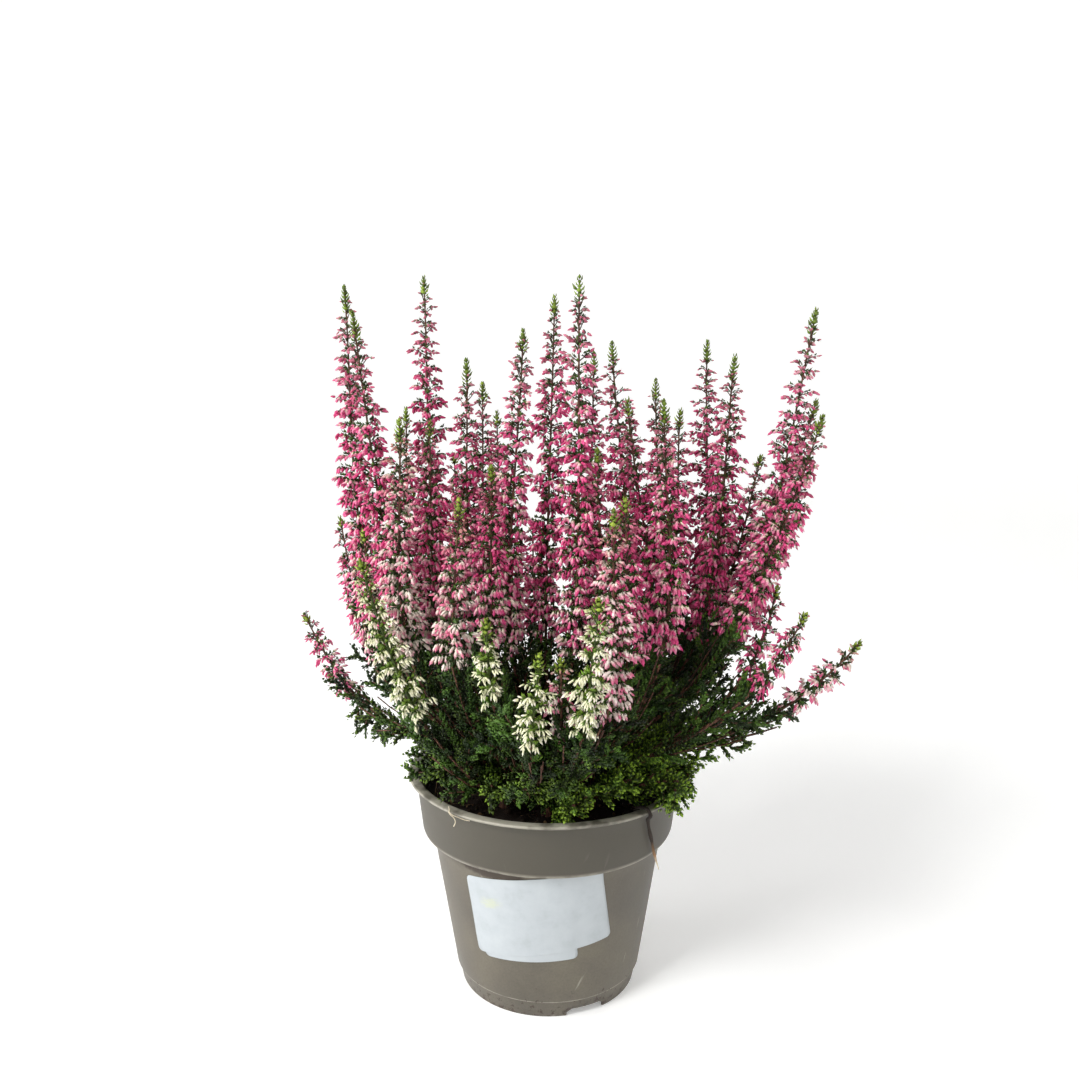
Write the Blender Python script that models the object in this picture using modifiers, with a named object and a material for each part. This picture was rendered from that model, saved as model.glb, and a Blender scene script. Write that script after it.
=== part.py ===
"""A potted heather: a plastic nursery pot with two stickers, its soil, and the plant.

Metres, +Z up. The front of the pot, with its stickers, faces -Y. The origin lies on the ground, on
the pot's axis. Sizes below are in millimetres and angles in degrees.

The plant is built as it grows. Nine woody trunks stand in holes in the soil. Leafy stems leave the
head of each trunk, and each stem carries one flower spike. A trunk and its leafy stems are one
body; each flower spike is a body of its own. Leaves and buds are raised from the surface of a stem
by a formula: every second point of a net wrapped round the stem is pulled out into a bud or a sprig.
"""

import math

import bmesh
import bpy
import numpy as np
from mathutils import Vector

MM = 0.001
GAP = 0.3

# Pot: (radius, height) down the outside and back up the inside.
TURN_STEPS = 32
POT_HEIGHT = 102.1
RIM_RADIUS = 65.0
FOOT_RADIUS = 41.0
FLOOR_UNDER = 6.0
FLOOR_TOP = 7.5
CENTRE_HOLE = 4.0
LEDGE_HEIGHT = 75.4
BODY_FOOT = (43.7, 8.6)
BODY_HEAD = (53.8, LEDGE_HEIGHT - 0.2)
POT_OUTSIDE = (
    (60.3, POT_HEIGHT),
    (64.6, POT_HEIGHT),
    (RIM_RADIUS, 101.6),
    (64.7, 100.6),
    (61.3, 100.3),
    (58.6, 76.6),
    (57.6, LEDGE_HEIGHT + 0.2),
    BODY_HEAD,
    BODY_FOOT,
    (42.6, 8.3),
    (FOOT_RADIUS, 0.0),
    (39.8, 0.0),
    (40.4, FLOOR_UNDER),
    (CENTRE_HOLE, FLOOR_UNDER),
    (CENTRE_HOLE, FLOOR_TOP),
)
POT_INSIDE = ((42.3, FLOOR_TOP), (52.6, 76.8), (57.2, 77.0), (60.1, 100.8))

DRAIN_HOLES = 6
DRAIN_RADIUS = 4.0
DRAIN_CIRCLE = 26.0
DRAIN_SIDES = 12
CUTTER_EXTRA = 3.0
FOOT_NOTCHES = 3
NOTCH_WIDTH = 18.0
NOTCH_HEIGHT = 3.6
NOTCH_DEPTH = 8.0
FIRST_NOTCH_ANGLE = -66.0

# Soil
SOIL_TOP = 90.0
SOIL_RINGS = (0.0, 10.0, 20.0, 35.0, 48.0)
SOIL_EDGE = 58.2
SOIL_SHOULDER = 1.0
LUMP = 1.3

# Stickers on the tapered body, unrolled: x along the wall from the front, z up.
STICKER_THICKNESS = 0.35
STICKER_TOP = LEDGE_HEIGHT - 1.2
UPPER_STICKER = {"centre": (-5.3, 53.4), "size": (63.5, 38.5), "turn": 9.1, "lift": 0.95}
LOWER_STICKER = {"centre": (-9.6, 44.3), "size": (43.0, 28.5), "turn": 4.7, "lift": 0.3}
STICKER_CELLS = (12, 4)

# Trunks
TRUNK_RING = 27.0
TRUNKS_IN_RING = 8
TRUNK_RADIUS = 3.3
TRUNK_FOOT = 75.0
TRUNK_HEAD = 97.0
STEM_START = 94.0
TRUNK_SIDES = 8

# Leafy stems: six points round, sprigs pointing up and out, bare at both ends.
STEM_SIDES = 6
STEM_CORE = 1.5
STEM_FOOT_BARE = 9.0
STEM_BARE = 14.0
SPRIG_REACH = 5.4
SPRIG_PITCH = 15.0
SPRIG_RISE = 6.0
NECK_RADIUS = 1.2
NECK_LENGTH = 8.0

# Flower spikes: eight points round, buds hanging down and out, and a green leafy tip.
SPIKE_SIDES = 8
SPIKE_CORE = 3.2
SPIKE_SHOULDER = 5.0
BUD_REACH = 7.2
BUD_PITCH = 11.6
BUD_DROP = 5.5
LOWEST_BUDS = 0.75
TOP_TAPER = 0.28
GREEN_TIP = 15.0
LEAF_TIP = 8.0
TIP_RADIUS = 0.8
TIP_BANDS = 2
GOLDEN_ANGLE = 137.5

# Leafy shoots with no flowers, low round the rim.
TUFT_BARE = 6.0
TUFT_FIRST = 11.0
TUFT_LAST = 8.0
TUFT_REACH = 5.2
TUFT_PITCH = 9.0
TUFT_RISE = 3.0
TUFT_END_RADIUS = 1.4

# Which way shoots lean: shares of straight up, or of the spike's own direction, in each turn.
ROOT_DRAW = 0.34
STEM_LIFT = 0.35
TUFT_LIFT = 0.8
TUFT_DROOP = 0.2
FOOT_TURN = 0.55
TIP_LIFT = 0.25

# How shoots are kept apart
POINT_SPACING = 8.0
BEND_ROUNDS = 160
BEND_RATE = 0.35
BEND_LIMIT = 2.0
CLEARANCE = 1.6
SAME_TRUNK_SHARE = 0.7
DIRECTION_REACH = 5.0

# Each flower spike as read off the photograph, in mm: its tip, the foot of its flowers, and its
# colour. The last five stand behind the others, where the photograph doesn't reach.
SPIKES = (
    ((-94, 30, 323), (-81, 22, 172), "rose"),
    ((-82, -20, 310), (-60, -20, 168), "rose"),
    ((-60, 55, 329), (-50, 40, 162), "rose"),
    ((-53, 2, 263), (-49, -8, 165), "rose"),
    ((-68, 40, 267), (-62, 30, 163), "rose"),
    ((-61, -38, 266), (-58, -40, 166), "pale"),
    ((-38, 28, 290), (-33, 20, 162), "rose"),
    ((-33, 72, 278), (-31, 54, 164), "rose"),
    ((-27, 100, 262), (-22, 76, 165), "rose"),
    ((-24, -34, 247), (-24, -34, 169), "rose"),
    ((-35, -66, 238), (-38, -62, 169), "pale"),
    ((-11, -6, 303), (-16, -10, 159), "rose"),
    ((3, 30, 319), (-1, 20, 158), "rose"),
    ((12, -36, 323), (10, -34, 164), "rose"),
    ((23, 60, 293), (20, 46, 156), "rose"),
    ((30, 35, 298), (38, 28, 163), "rose"),
    ((34, -8, 273), (46, -14, 158), "rose"),
    ((22, 5, 250), (22, 2, 158), "rose"),
    ((56, 82, 279), (54, 62, 160), "rose"),
    ((47, -34, 274), (48, -38, 168), "rose"),
    ((64, 45, 266), (58, 40, 163), "rose"),
    ((80, 68, 299), (72, 52, 154), "rose"),
    ((83, 8, 292), (68, 4, 161), "rose"),
    ((119, 10, 312), (82, -1, 162), "rose"),
    ((123, 18, 272), (86, 18, 162), "rose"),
    ((118, -14, 267), (80, -20, 171), "rose"),
    ((103, 40, 244), (80, 34, 163), "rose"),
    ((125, 48, 215), (97, 45, 168), "blush"),
    ((24, -78, 235), (22, -72, 150), "blush"),
    ((30, -54, 236), (32, -54, 168), "rose"),
    ((-105, 58, 211), (-86, 42, 146), "rose"),
    ((-83, -2, 215), (-76, -4, 155), "rose"),
    ((-75, -60, 212), (-52, -60, 146), "white"),
    ((-24, -86, 195), (-22, -78, 160), "white"),
    ((-4, -100, 186), (-7, -88, 146), "white"),
    ((4, -84, 179), (5, -78, 146), "blush"),
    ((17, -108, 208), (12, -92, 152), "white"),
    ((-124, 54, 162), (-95, 32, 126), "rose"),
    ((100, -16, 192), (84, -26, 152), "rose"),
    ((106, -46, 187), (84, -48, 154), "rose"),
    ((126, -56, 178), (99, -38, 143), "blush"),
    ((-70, 75, 225), (-58, 62, 150), "rose"),
    ((-50, 96, 240), (-42, 76, 152), "rose"),
    ((-8, 106, 202), (-6, 82, 142), "rose"),
    ((44, 102, 235), (36, 80, 150), "rose"),
    ((92, 84, 225), (80, 66, 148), "rose"),
)

# Each tuft: where its shoot ends. It leaves the nearest trunk.
# Some spikes at the sides are thinner than the rest: their share of the full reach, by number.
SLENDER = {28: 0.75, 31: 0.65, 38: 0.75, 39: 0.65, 40: 0.7, 41: 0.8}

TUFTS = (
    (-50, -36, 116),
    (-38, -44, 128),
    (-24, -50, 114),
    (-8, -54, 126),
    (8, -56, 112),
    (20, -50, 130),
    (34, -50, 116),
    (55, -44, 113),
    (62, -28, 113),
    (48, -24, 124),
    (62, 6, 120),
    (46, 36, 118),
    (14, 54, 118),
    (-20, 52, 120),
    (-48, 34, 118),
    (-66, -6, 124),
)

COLOURS = {
    "pot": ("7D796E", 0.5),
    "soil": ("2B2019", 0.95),
    "sticker": ("E2E7EA", 0.4),
    "leaf": ("34522A", 0.65),
    "rose": ("C9487F", 0.6),
    "blush": ("DE9DB4", 0.6),
    "pale": ("D99DB1", 0.6),
    "white": ("EAE7DA", 0.6),
}


def clear_scene():
    for thing in list(bpy.data.objects):
        bpy.data.objects.remove(thing, do_unlink=True)


def new_collection(name):
    collection = bpy.data.collections.new(name)
    bpy.context.scene.collection.children.link(collection)
    return collection


def linear(channel):
    """One sRGB channel, 0 to 255, as the linear value that Blender's colours hold."""
    value = channel / 255
    if value <= 0.04045:
        return value / 12.92
    return ((value + 0.055) / 1.055) ** 2.4


def make_material(name):
    code, roughness = COLOURS[name]
    red, green, blue = (linear(int(code[i : i + 2], 16)) for i in (0, 2, 4))
    material = bpy.data.materials.new(name)
    material.use_nodes = True
    shader = material.node_tree.nodes["Principled BSDF"]
    shader.inputs["Base Color"].default_value = (red, green, blue, 1.0)
    shader.inputs["Roughness"].default_value = roughness
    shader.inputs["Metallic"].default_value = 0.0
    return material


def add_object(name, bm, collection, material=None):
    """Puts a bmesh, in millimetres, into a new object in metres."""
    bmesh.ops.scale(bm, vec=Vector((MM, MM, MM)), verts=bm.verts)
    mesh = bpy.data.meshes.new(name)
    bm.to_mesh(mesh)
    bm.free()
    if material:
        mesh.materials.append(material)
    thing = bpy.data.objects.new(name, mesh)
    collection.objects.link(thing)
    return thing


def as_cutter(thing):
    thing.hide_render = True
    thing.display_type = "WIRE"


def turned(name, profile, closed, collection, material):
    """A profile of (radius, height) points turned about Z by a Screw modifier."""
    bm = bmesh.new()
    points = [bm.verts.new((radius, 0.0, height)) for radius, height in profile]
    for low, high in zip(points, points[1:]):
        bm.edges.new((low, high))
    if closed:
        bm.edges.new((points[-1], points[0]))
    thing = add_object(name, bm, collection, material)
    screw = thing.modifiers.new("turn", "SCREW")
    screw.steps = TURN_STEPS
    screw.render_steps = TURN_STEPS
    screw.use_merge_vertices = True
    screw.merge_threshold = 1e-5
    return thing


def apply_modifiers(thing):
    """Replaces the object's mesh with its evaluated one."""
    graph = bpy.context.evaluated_depsgraph_get()
    mesh = bpy.data.meshes.new_from_object(thing.evaluated_get(graph))
    thing.modifiers.clear()
    thing.data = mesh


def cone_between(bm, foot, head, radius, sides):
    """A capped cylinder between two points on a vertical line."""
    middle = (Vector(foot) + Vector(head)) / 2
    made = bmesh.ops.create_cone(
        bm, cap_ends=True, segments=sides, radius1=radius, radius2=radius, depth=head[2] - foot[2]
    )
    bmesh.ops.translate(bm, vec=middle, verts=made["verts"])


def on_circle(radius, degrees):
    angle = math.radians(degrees)
    return radius * math.cos(angle), radius * math.sin(angle)


def subtract(thing, cutters):
    modifier = thing.modifiers.new("cut", "BOOLEAN")
    modifier.operation = "DIFFERENCE"
    modifier.operand_type = "COLLECTION"
    modifier.collection = cutters


def make_pot(collection, material):
    pot = turned("pot", POT_OUTSIDE + POT_INSIDE, True, collection, material)
    cutters = new_collection("pot_cutters")
    for index in range(DRAIN_HOLES):
        x, y = on_circle(DRAIN_CIRCLE, index * 360 / DRAIN_HOLES)
        bm = bmesh.new()
        foot = (x, y, FLOOR_UNDER - CUTTER_EXTRA)
        head = (x, y, FLOOR_TOP + CUTTER_EXTRA)
        cone_between(bm, foot, head, DRAIN_RADIUS, DRAIN_SIDES)
        as_cutter(add_object(f"drain_cutter_{index + 1}", bm, cutters))
    for index in range(FOOT_NOTCHES):
        angle = FIRST_NOTCH_ANGLE + index * 360 / FOOT_NOTCHES
        bm = bmesh.new()
        bmesh.ops.create_cube(bm, size=1.0)
        size = Vector((NOTCH_DEPTH, NOTCH_WIDTH, 2 * NOTCH_HEIGHT))
        bmesh.ops.scale(bm, vec=size, verts=bm.verts)
        cutter = add_object(f"notch_cutter_{index + 1}", bm, cutters)
        x, y = on_circle(FOOT_RADIUS, angle)
        cutter.location = (x * MM, y * MM, 0.0)
        cutter.rotation_euler = (0.0, 0.0, math.radians(angle))
        as_cutter(cutter)
    subtract(pot, cutters)
    return pot


def soil_surface(x, y):
    """Height of the soil's lumps: two crossed waves, dying away toward the pot's wall."""
    broad = math.sin(0.31 * x + 1.0) * math.cos(0.27 * y)
    fine = 0.6 * math.sin(0.63 * x - 0.41 * y + 2.0)
    fade = 1 - (math.hypot(x, y) / SOIL_EDGE) ** 4
    return SOIL_TOP + LUMP * (broad + fine) * max(fade, 0.0)


def make_soil(trunks, collection, material):
    (low_r, low_z), (body_r, body_z), (band_r, band_z), _ = POT_INSIDE
    top = [(radius, SOIL_TOP) for radius in SOIL_RINGS]
    side = [
        (SOIL_EDGE, SOIL_TOP - SOIL_SHOULDER),
        (band_r - GAP, band_z + 2 * GAP),
        (body_r - GAP, body_z + 2 * GAP),
        (low_r - GAP, low_z + GAP),
        (0.0, low_z + GAP),
    ]
    soil = turned("soil", top + side, False, collection, material)
    apply_modifiers(soil)
    for vertex in soil.data.vertices:
        x, y, z = vertex.co / MM
        if z > SOIL_TOP - SOIL_SHOULDER / 2:
            vertex.co.z = soil_surface(x, y) * MM
    cutters = new_collection("soil_cutters")
    for index, (x, y) in enumerate(trunks):
        bm = bmesh.new()
        foot = (x, y, TRUNK_FOOT - GAP)
        head = (x, y, TRUNK_HEAD)
        cone_between(bm, foot, head, TRUNK_RADIUS + GAP, TRUNK_SIDES)
        as_cutter(add_object(f"trunk_cutter_{index + 1}", bm, cutters))
    subtract(soil, cutters)
    return soil


def body_radius(height):
    """Outer radius of the pot's tapered body at a height."""
    (foot_r, foot_z), (head_r, head_z) = BODY_FOOT, BODY_HEAD
    return foot_r + (head_r - foot_r) * (height - foot_z) / (head_z - foot_z)


def make_sticker(name, spec, collection, material):
    """A thin plate on the tapered body: a turned rectangle, unrolled along the wall.

    Its top edge stops just below the pot's ledge where the rectangle would cross it.
    """
    width, height = spec["size"]
    turn = math.radians(spec["turn"])
    columns, rows = STICKER_CELLS
    bm = bmesh.new()
    bmesh.ops.create_grid(bm, x_segments=columns, y_segments=rows, size=0.5)
    for vertex in bm.verts:
        u = vertex.co.x * width
        v = vertex.co.y * height
        x = spec["centre"][0] + u * math.cos(turn) - v * math.sin(turn)
        z = spec["centre"][1] + u * math.sin(turn) + v * math.cos(turn)
        highest = STICKER_TOP - (0.5 - vertex.co.y) * height * math.cos(turn)
        z = min(z, highest)
        radius = body_radius(z) + spec["lift"]
        angle = x / body_radius(z) - math.pi / 2
        vertex.co = (radius * math.cos(angle), radius * math.sin(angle), z)
    plate = add_object(name, bm, collection, material)
    shell = plate.modifiers.new("thickness", "SOLIDIFY")
    shell.thickness = STICKER_THICKNESS * MM
    shell.offset = 1.0
    return plate


def unit(rows):
    return rows / np.linalg.norm(rows, axis=-1, keepdims=True)


def curve_between(start, leave, end, arrive, count):
    """A smooth run of points that leaves start one way and arrives at end another way.

    It is a Hermite curve: (2t3-3t2+1)P + (t3-2t2+t)p + (3t2-2t3)Q + (t3-t2)q.
    """
    t = np.linspace(0, 1, count)[:, None]
    length = np.linalg.norm(end - start)
    out = leave * length
    into = arrive * length
    first = (2 * t**3 - 3 * t**2 + 1) * start + (t**3 - 2 * t**2 + t) * out
    return first + (3 * t**2 - 2 * t**3) * end + (t**3 - t**2) * into


def plan_shoot(trunk, foot, tip):
    """Points along one shoot from its trunk's head, and which of them is the foot of its flowers."""
    start = np.array([*trunk, STEM_START])
    up = np.array([0.0, 0.0, 1.0])
    rise = unit(foot - start)
    if tip is None:
        count = max(5, round(np.linalg.norm(foot - start) / POINT_SPACING))
        leave = unit(rise + TUFT_LIFT * up)
        return curve_between(start, leave, foot, unit(rise - TUFT_DROOP * up), count), None
    spike = unit(tip - foot)
    turn = unit((1 - FOOT_TURN) * rise + FOOT_TURN * spike)
    low = max(6, round(np.linalg.norm(foot - start) / POINT_SPACING))
    high = max(5, round(np.linalg.norm(tip - foot) / POINT_SPACING))
    stem = curve_between(start, unit(rise + STEM_LIFT * up), foot, turn, low)
    bloom = curve_between(foot, turn, tip, unit(spike + TIP_LIFT * up), high)
    return np.vstack([stem, bloom[1:]]), low - 1


def nearest_trunk(place, trunks):
    """Which trunk a shoot leaves: the one nearest to its foot, drawn in toward the pot's axis."""
    target = ROOT_DRAW * np.array(place[:2], float)
    return int(np.argmin(np.linalg.norm(np.array(trunks) - target, axis=1)))


def bend_clear(shoots):
    """Pushes the points of different shoots apart until none is closer than their radii allow.

    Each round adds up the pushes on every point, evens them out along its shoot and moves it.
    A shoot's first point never moves, and stems of one trunk may touch near its head.
    """
    start = np.cumsum([0] + [len(s["points"]) for s in shoots])
    points = np.vstack([s["points"] for s in shoots])
    radius = np.concatenate([s["radius"] for s in shoots])
    ease = np.concatenate([np.clip(np.arange(len(s["points"])) / 3, 0, 1) for s in shoots])
    owner = np.repeat(np.arange(len(shoots)), np.diff(start))
    trunk = np.array([s["trunk"] for s in shoots])[owner]
    stem = np.concatenate([s["is_stem"] for s in shoots])
    need = radius[:, None] + radius[None, :] + CLEARANCE
    together = (trunk[:, None] == trunk[None, :]) & stem[:, None] & stem[None, :]
    need = np.where(together, SAME_TRUNK_SHARE * need, need)
    need[owner[:, None] == owner[None, :]] = 0
    for _ in range(BEND_ROUNDS):
        apart = points[:, None, :] - points[None, :, :]
        distance = np.linalg.norm(apart, axis=2) + 1e-6
        short = np.clip(need - distance, 0, None)
        push = (apart * (short / distance)[:, :, None]).sum(axis=1) * BEND_RATE
        size = np.linalg.norm(push, axis=1, keepdims=True)
        push *= np.minimum(1, BEND_LIMIT / np.maximum(size, 1e-6)) * ease[:, None]
        for low, high in zip(start, start[1:]):
            part = push[low:high]
            for _ in range(2):
                padded = np.vstack([part[:1], part, part[-1:]])
                part = (padded[:-2] + 2 * padded[1:-1] + padded[2:]) / 4
            part[0] = 0
            points[low:high] += part
    for shoot, low, high in zip(shoots, start, start[1:]):
        shoot["points"] = points[low:high]


def plan_plant(trunks):
    """All shoots, bent clear of each other. Each has its trunk, points, radii and flower foot."""
    shoots = []
    for number, (tip, foot, colour) in enumerate(SPIKES, 1):
        trunk = nearest_trunk(foot, trunks)
        points, joint = plan_shoot(trunks[trunk], np.array(foot, float), np.array(tip, float))
        shoots.append({"trunk": trunk, "points": points, "joint": joint, "colour": colour})
        shoots[-1]["girth"] = SLENDER.get(number, 1.0)
    for end in TUFTS:
        trunk = nearest_trunk(end, trunks)
        points, joint = plan_shoot(trunks[trunk], np.array(end, float), None)
        shoots.append({"trunk": trunk, "points": points, "joint": joint, "colour": "leaf", "girth": 1.0})
    for shoot in shoots:
        count = len(shoot["points"])
        joint = count if shoot["joint"] is None else shoot["joint"]
        index = np.arange(count)
        shoot["is_stem"] = index <= joint
        leafy = np.where(index < 2, STEM_CORE, SPRIG_REACH)
        bloom = shoot["girth"] * np.where(index > count - 3, 0.5 * BUD_REACH, BUD_REACH)
        shoot["radius"] = np.where(shoot["is_stem"], leafy, bloom)
    bend_clear(shoots)
    return shoots


def along(points, places):
    """Positions and directions at distances along a run of points."""
    steps = np.linalg.norm(np.diff(points, axis=0), axis=1)
    reach = np.concatenate([[0], np.cumsum(steps)])

    def at(distances):
        return np.stack([np.interp(distances, reach, points[:, k]) for k in range(3)], axis=1)

    return at(places), unit(at(places + DIRECTION_REACH) - at(places - DIRECTION_REACH))


def path_length(points):
    return float(np.linalg.norm(np.diff(points, axis=0), axis=1).sum())


def raised_tube(points, rings, sides, twist, tip_bands=0):
    """A closed tube along the points, with every second net point pulled out into a pyramid.

    rings holds, for each ring of the net, its distance along the points, the radius of its low
    points, that of its high points, and how far the high points slide along the tube. Each square
    of the net is split between its two low points, so each high point tops a four-sided pyramid.
    The last tip_bands bands take the object's second material.
    """
    places, low, high, slide = (np.array(column, float) for column in zip(*rings))
    centre, forward = along(points, places)
    side = unit(np.array([1.0, 0.0, 0.0]) - forward[:, :1] * forward)
    other = np.cross(forward, side)
    bm = bmesh.new()
    bands = len(rings) - 1
    bmesh.ops.create_grid(bm, x_segments=sides, y_segments=bands, size=0.5)
    for face in bm.faces:
        band = (face.calc_center_median().y + 0.5) * bands
        face.material_index = int(band > bands - tip_bands)
    raised = {}
    for vertex in bm.verts:
        column = round((vertex.co.x + 0.5) * sides)
        ring = round((vertex.co.y + 0.5) * bands)
        raised[vertex] = (column + ring) % 2 == 0
        angle = math.radians(twist) + 2 * math.pi * column / sides
        radius = high[ring] if raised[vertex] else low[ring]
        shift = slide[ring] if raised[vertex] else 0.0
        outward = math.cos(angle) * side[ring] + math.sin(angle) * other[ring]
        vertex.co = centre[ring] + radius * outward + shift * forward[ring]
    for face in list(bm.faces):
        bmesh.utils.face_split(face, *[v for v in face.verts if not raised[v]])
    bmesh.ops.remove_doubles(bm, verts=bm.verts, dist=1e-4)
    rims = [edge for edge in bm.edges if edge.is_boundary]
    bmesh.ops.holes_fill(bm, edges=rims, sides=sides)
    bmesh.ops.recalc_face_normals(bm, faces=bm.faces)
    return bm


def plain(place, radius):
    """A ring with no raised points."""
    return place, radius, radius, 0.0


def spike_rings(start, end, girth):
    """Rings of one flower spike: a narrow foot, hanging buds that shorten upward, a green tip."""
    full = girth * BUD_REACH
    first = start + SPIKE_SHOULDER
    last = end - GREEN_TIP
    count = max(2, round((last - first) / BUD_PITCH) + 1)
    rings = [plain(start, NECK_RADIUS)]
    rings.append((first, LOWEST_BUDS * girth * SPIKE_CORE, LOWEST_BUDS * full, -BUD_DROP / 2))
    for share in np.linspace(0, 1, count)[1:]:
        reach = full * (1 - TOP_TAPER * share**2)
        rings.append((first + share * (last - first), girth * SPIKE_CORE, reach, -BUD_DROP))
    rings.append((end - LEAF_TIP, SPIKE_CORE / 2, BUD_REACH / 2, 0.0))
    rings.append(plain(end, TIP_RADIUS))
    return rings


def stem_rings(end):
    """Rings of one leafy stem: bare at the trunk, rising sprigs, and a bare neck under the flowers."""
    first = STEM_BARE
    last = end - NECK_LENGTH - SPRIG_RISE
    count = max(2, round((last - first) / SPRIG_PITCH) + 1)
    rings = [plain(0.0, STEM_CORE), plain(STEM_FOOT_BARE, STEM_CORE)]
    for place in np.linspace(first, last, count):
        rings.append((place, STEM_CORE, SPRIG_REACH, SPRIG_RISE))
    rings.append(plain(end, NECK_RADIUS))
    return rings


def tuft_rings(end):
    """Rings of one leafy shoot: bare at the trunk, then sprigs up to a blunt tip."""
    count = max(2, round((end - TUFT_FIRST) / TUFT_PITCH))
    rings = [plain(0.0, STEM_CORE), plain(TUFT_BARE, STEM_CORE)]
    for place in np.linspace(TUFT_FIRST, end - TUFT_LAST, count):
        rings.append((place, STEM_CORE, TUFT_REACH, TUFT_RISE))
    rings.append(plain(end, TUFT_END_RADIUS))
    return rings


def make_spike(name, shoot, twist, collection, materials):
    points = shoot["points"]
    foot = path_length(points[: shoot["joint"] + 1]) + GAP / 2
    rings = spike_rings(foot, path_length(points), shoot["girth"])
    bm = raised_tube(points, rings, SPIKE_SIDES, twist, TIP_BANDS)
    spike = add_object(name, bm, collection, materials[shoot["colour"]])
    spike.data.materials.append(materials["leaf"])
    return spike


def make_branch(name, spot, shoots, collection, materials):
    """One trunk with all its leafy stems and tufts, joined by a Boolean union."""
    x, y = spot
    bm = bmesh.new()
    cone_between(bm, (x, y, TRUNK_FOOT), (x, y, TRUNK_HEAD), TRUNK_RADIUS, TRUNK_SIDES)
    branch = add_object(name, bm, collection, materials["leaf"])
    parts = new_collection(f"{name}_parts")
    for index, shoot in enumerate(shoots):
        if shoot["joint"] is None:
            rings = tuft_rings(path_length(shoot["points"]))
        else:
            rings = stem_rings(path_length(shoot["points"][: shoot["joint"] + 1]) - GAP / 2)
        bm = raised_tube(shoot["points"], rings, STEM_SIDES, index * GOLDEN_ANGLE)
        as_cutter(add_object(f"{name}_shoot_{index + 1}", bm, parts, materials["leaf"]))
    join = branch.modifiers.new("join", "BOOLEAN")
    join.operation = "UNION"
    join.operand_type = "COLLECTION"
    join.collection = parts
    apply_modifiers(branch)
    for thing in list(parts.objects):
        bpy.data.objects.remove(thing, do_unlink=True)
    bpy.data.collections.remove(parts)
    return branch


def main():
    clear_scene()
    heather = new_collection("potted_heather")
    materials = {name: make_material(name) for name in COLOURS}
    ring = [on_circle(TRUNK_RING, 360 * k / TRUNKS_IN_RING - 90) for k in range(TRUNKS_IN_RING)]
    trunks = [(0.0, 0.0)] + ring
    make_pot(heather, materials["pot"])
    make_soil(trunks, heather, materials["soil"])
    make_sticker("sticker_lower", LOWER_STICKER, heather, materials["sticker"])
    make_sticker("sticker_upper", UPPER_STICKER, heather, materials["sticker"])
    shoots = plan_plant(trunks)
    for index, spot in enumerate(trunks):
        own = [shoot for shoot in shoots if shoot["trunk"] == index]
        make_branch(f"branch_{index + 1}", spot, own, heather, materials)
    for index, shoot in enumerate(s for s in shoots if s["joint"] is not None):
        name = f"spike_{index + 1:02d}"
        make_spike(name, shoot, index * GOLDEN_ANGLE, heather, materials)


main()
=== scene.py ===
# %% [markdown]
# # A potted heather
# A garden heather in a taupe nursery pot: 46 upright flower spikes of tiny hanging buds, over
# dark stems clothed in scale leaves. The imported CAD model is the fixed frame. It says where the pot,
# the soil, nine woody branches and 46 flower spikes are. This lesson dresses each of them.
#
# Nothing here is placed by hand, bud by bud. Each kind of small shape is made once, and a formula with
# a seeded random part says where its copies go, as the plant's own rules of growth do.

import math

import bpy
import numpy as np
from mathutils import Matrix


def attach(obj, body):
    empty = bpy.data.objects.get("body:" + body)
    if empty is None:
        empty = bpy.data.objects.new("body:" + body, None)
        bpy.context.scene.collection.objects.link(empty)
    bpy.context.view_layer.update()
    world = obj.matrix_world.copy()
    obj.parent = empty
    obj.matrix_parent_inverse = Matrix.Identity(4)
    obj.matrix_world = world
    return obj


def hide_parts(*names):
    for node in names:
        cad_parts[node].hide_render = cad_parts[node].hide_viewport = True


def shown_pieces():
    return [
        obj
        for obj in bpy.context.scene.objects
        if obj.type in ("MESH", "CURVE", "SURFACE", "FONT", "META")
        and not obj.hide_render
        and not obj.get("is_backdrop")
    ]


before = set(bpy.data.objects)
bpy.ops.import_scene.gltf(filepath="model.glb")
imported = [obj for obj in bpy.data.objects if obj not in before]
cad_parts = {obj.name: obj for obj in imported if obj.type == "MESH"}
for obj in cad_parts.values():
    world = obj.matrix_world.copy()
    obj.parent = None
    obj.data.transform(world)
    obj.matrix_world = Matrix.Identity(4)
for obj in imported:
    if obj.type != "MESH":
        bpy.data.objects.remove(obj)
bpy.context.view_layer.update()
MM = 0.001

# %% [markdown]
# ## Camera
# The camera stands 47 cm in front of the pot's axis and 29 cm above the ground, tipped down about
# 10 degrees. Those numbers come from the pot's rim, ledge and foot, three circles of known size that
# the photograph shows as ellipses. A normal wide lens of 35 mm on a 36 mm sensor gives the same spread.

# %% Camera
scene = bpy.context.scene
CAMERA_PLACE = (-0.00378, -0.4708, 0.2942)
CAMERA_TILT = 10.17

lens = bpy.data.cameras.new("camera")
lens.lens = 35.33
lens.sensor_width = 36.0
lens.clip_start = 0.01
camera = bpy.data.objects.new("camera", lens)
camera.location = CAMERA_PLACE
camera.rotation_euler = (math.radians(90 - CAMERA_TILT), 0.0, 0.0)
scene.collection.objects.link(camera)
scene.camera = camera
scene.view_settings.view_transform = "Standard"
print("camera at", CAMERA_PLACE, "m, tipped down", CAMERA_TILT, "degrees")

# %% [markdown]
# ## Small tools for materials
# Colours are written as sRGB hex, the way a paint programme shows them, and turned to linear light once.
# One function adds any shader node, sets it and links it. Patterns read a position in millimetres, so
# the scale of a noise is simply one over the size of its lumps.


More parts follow.
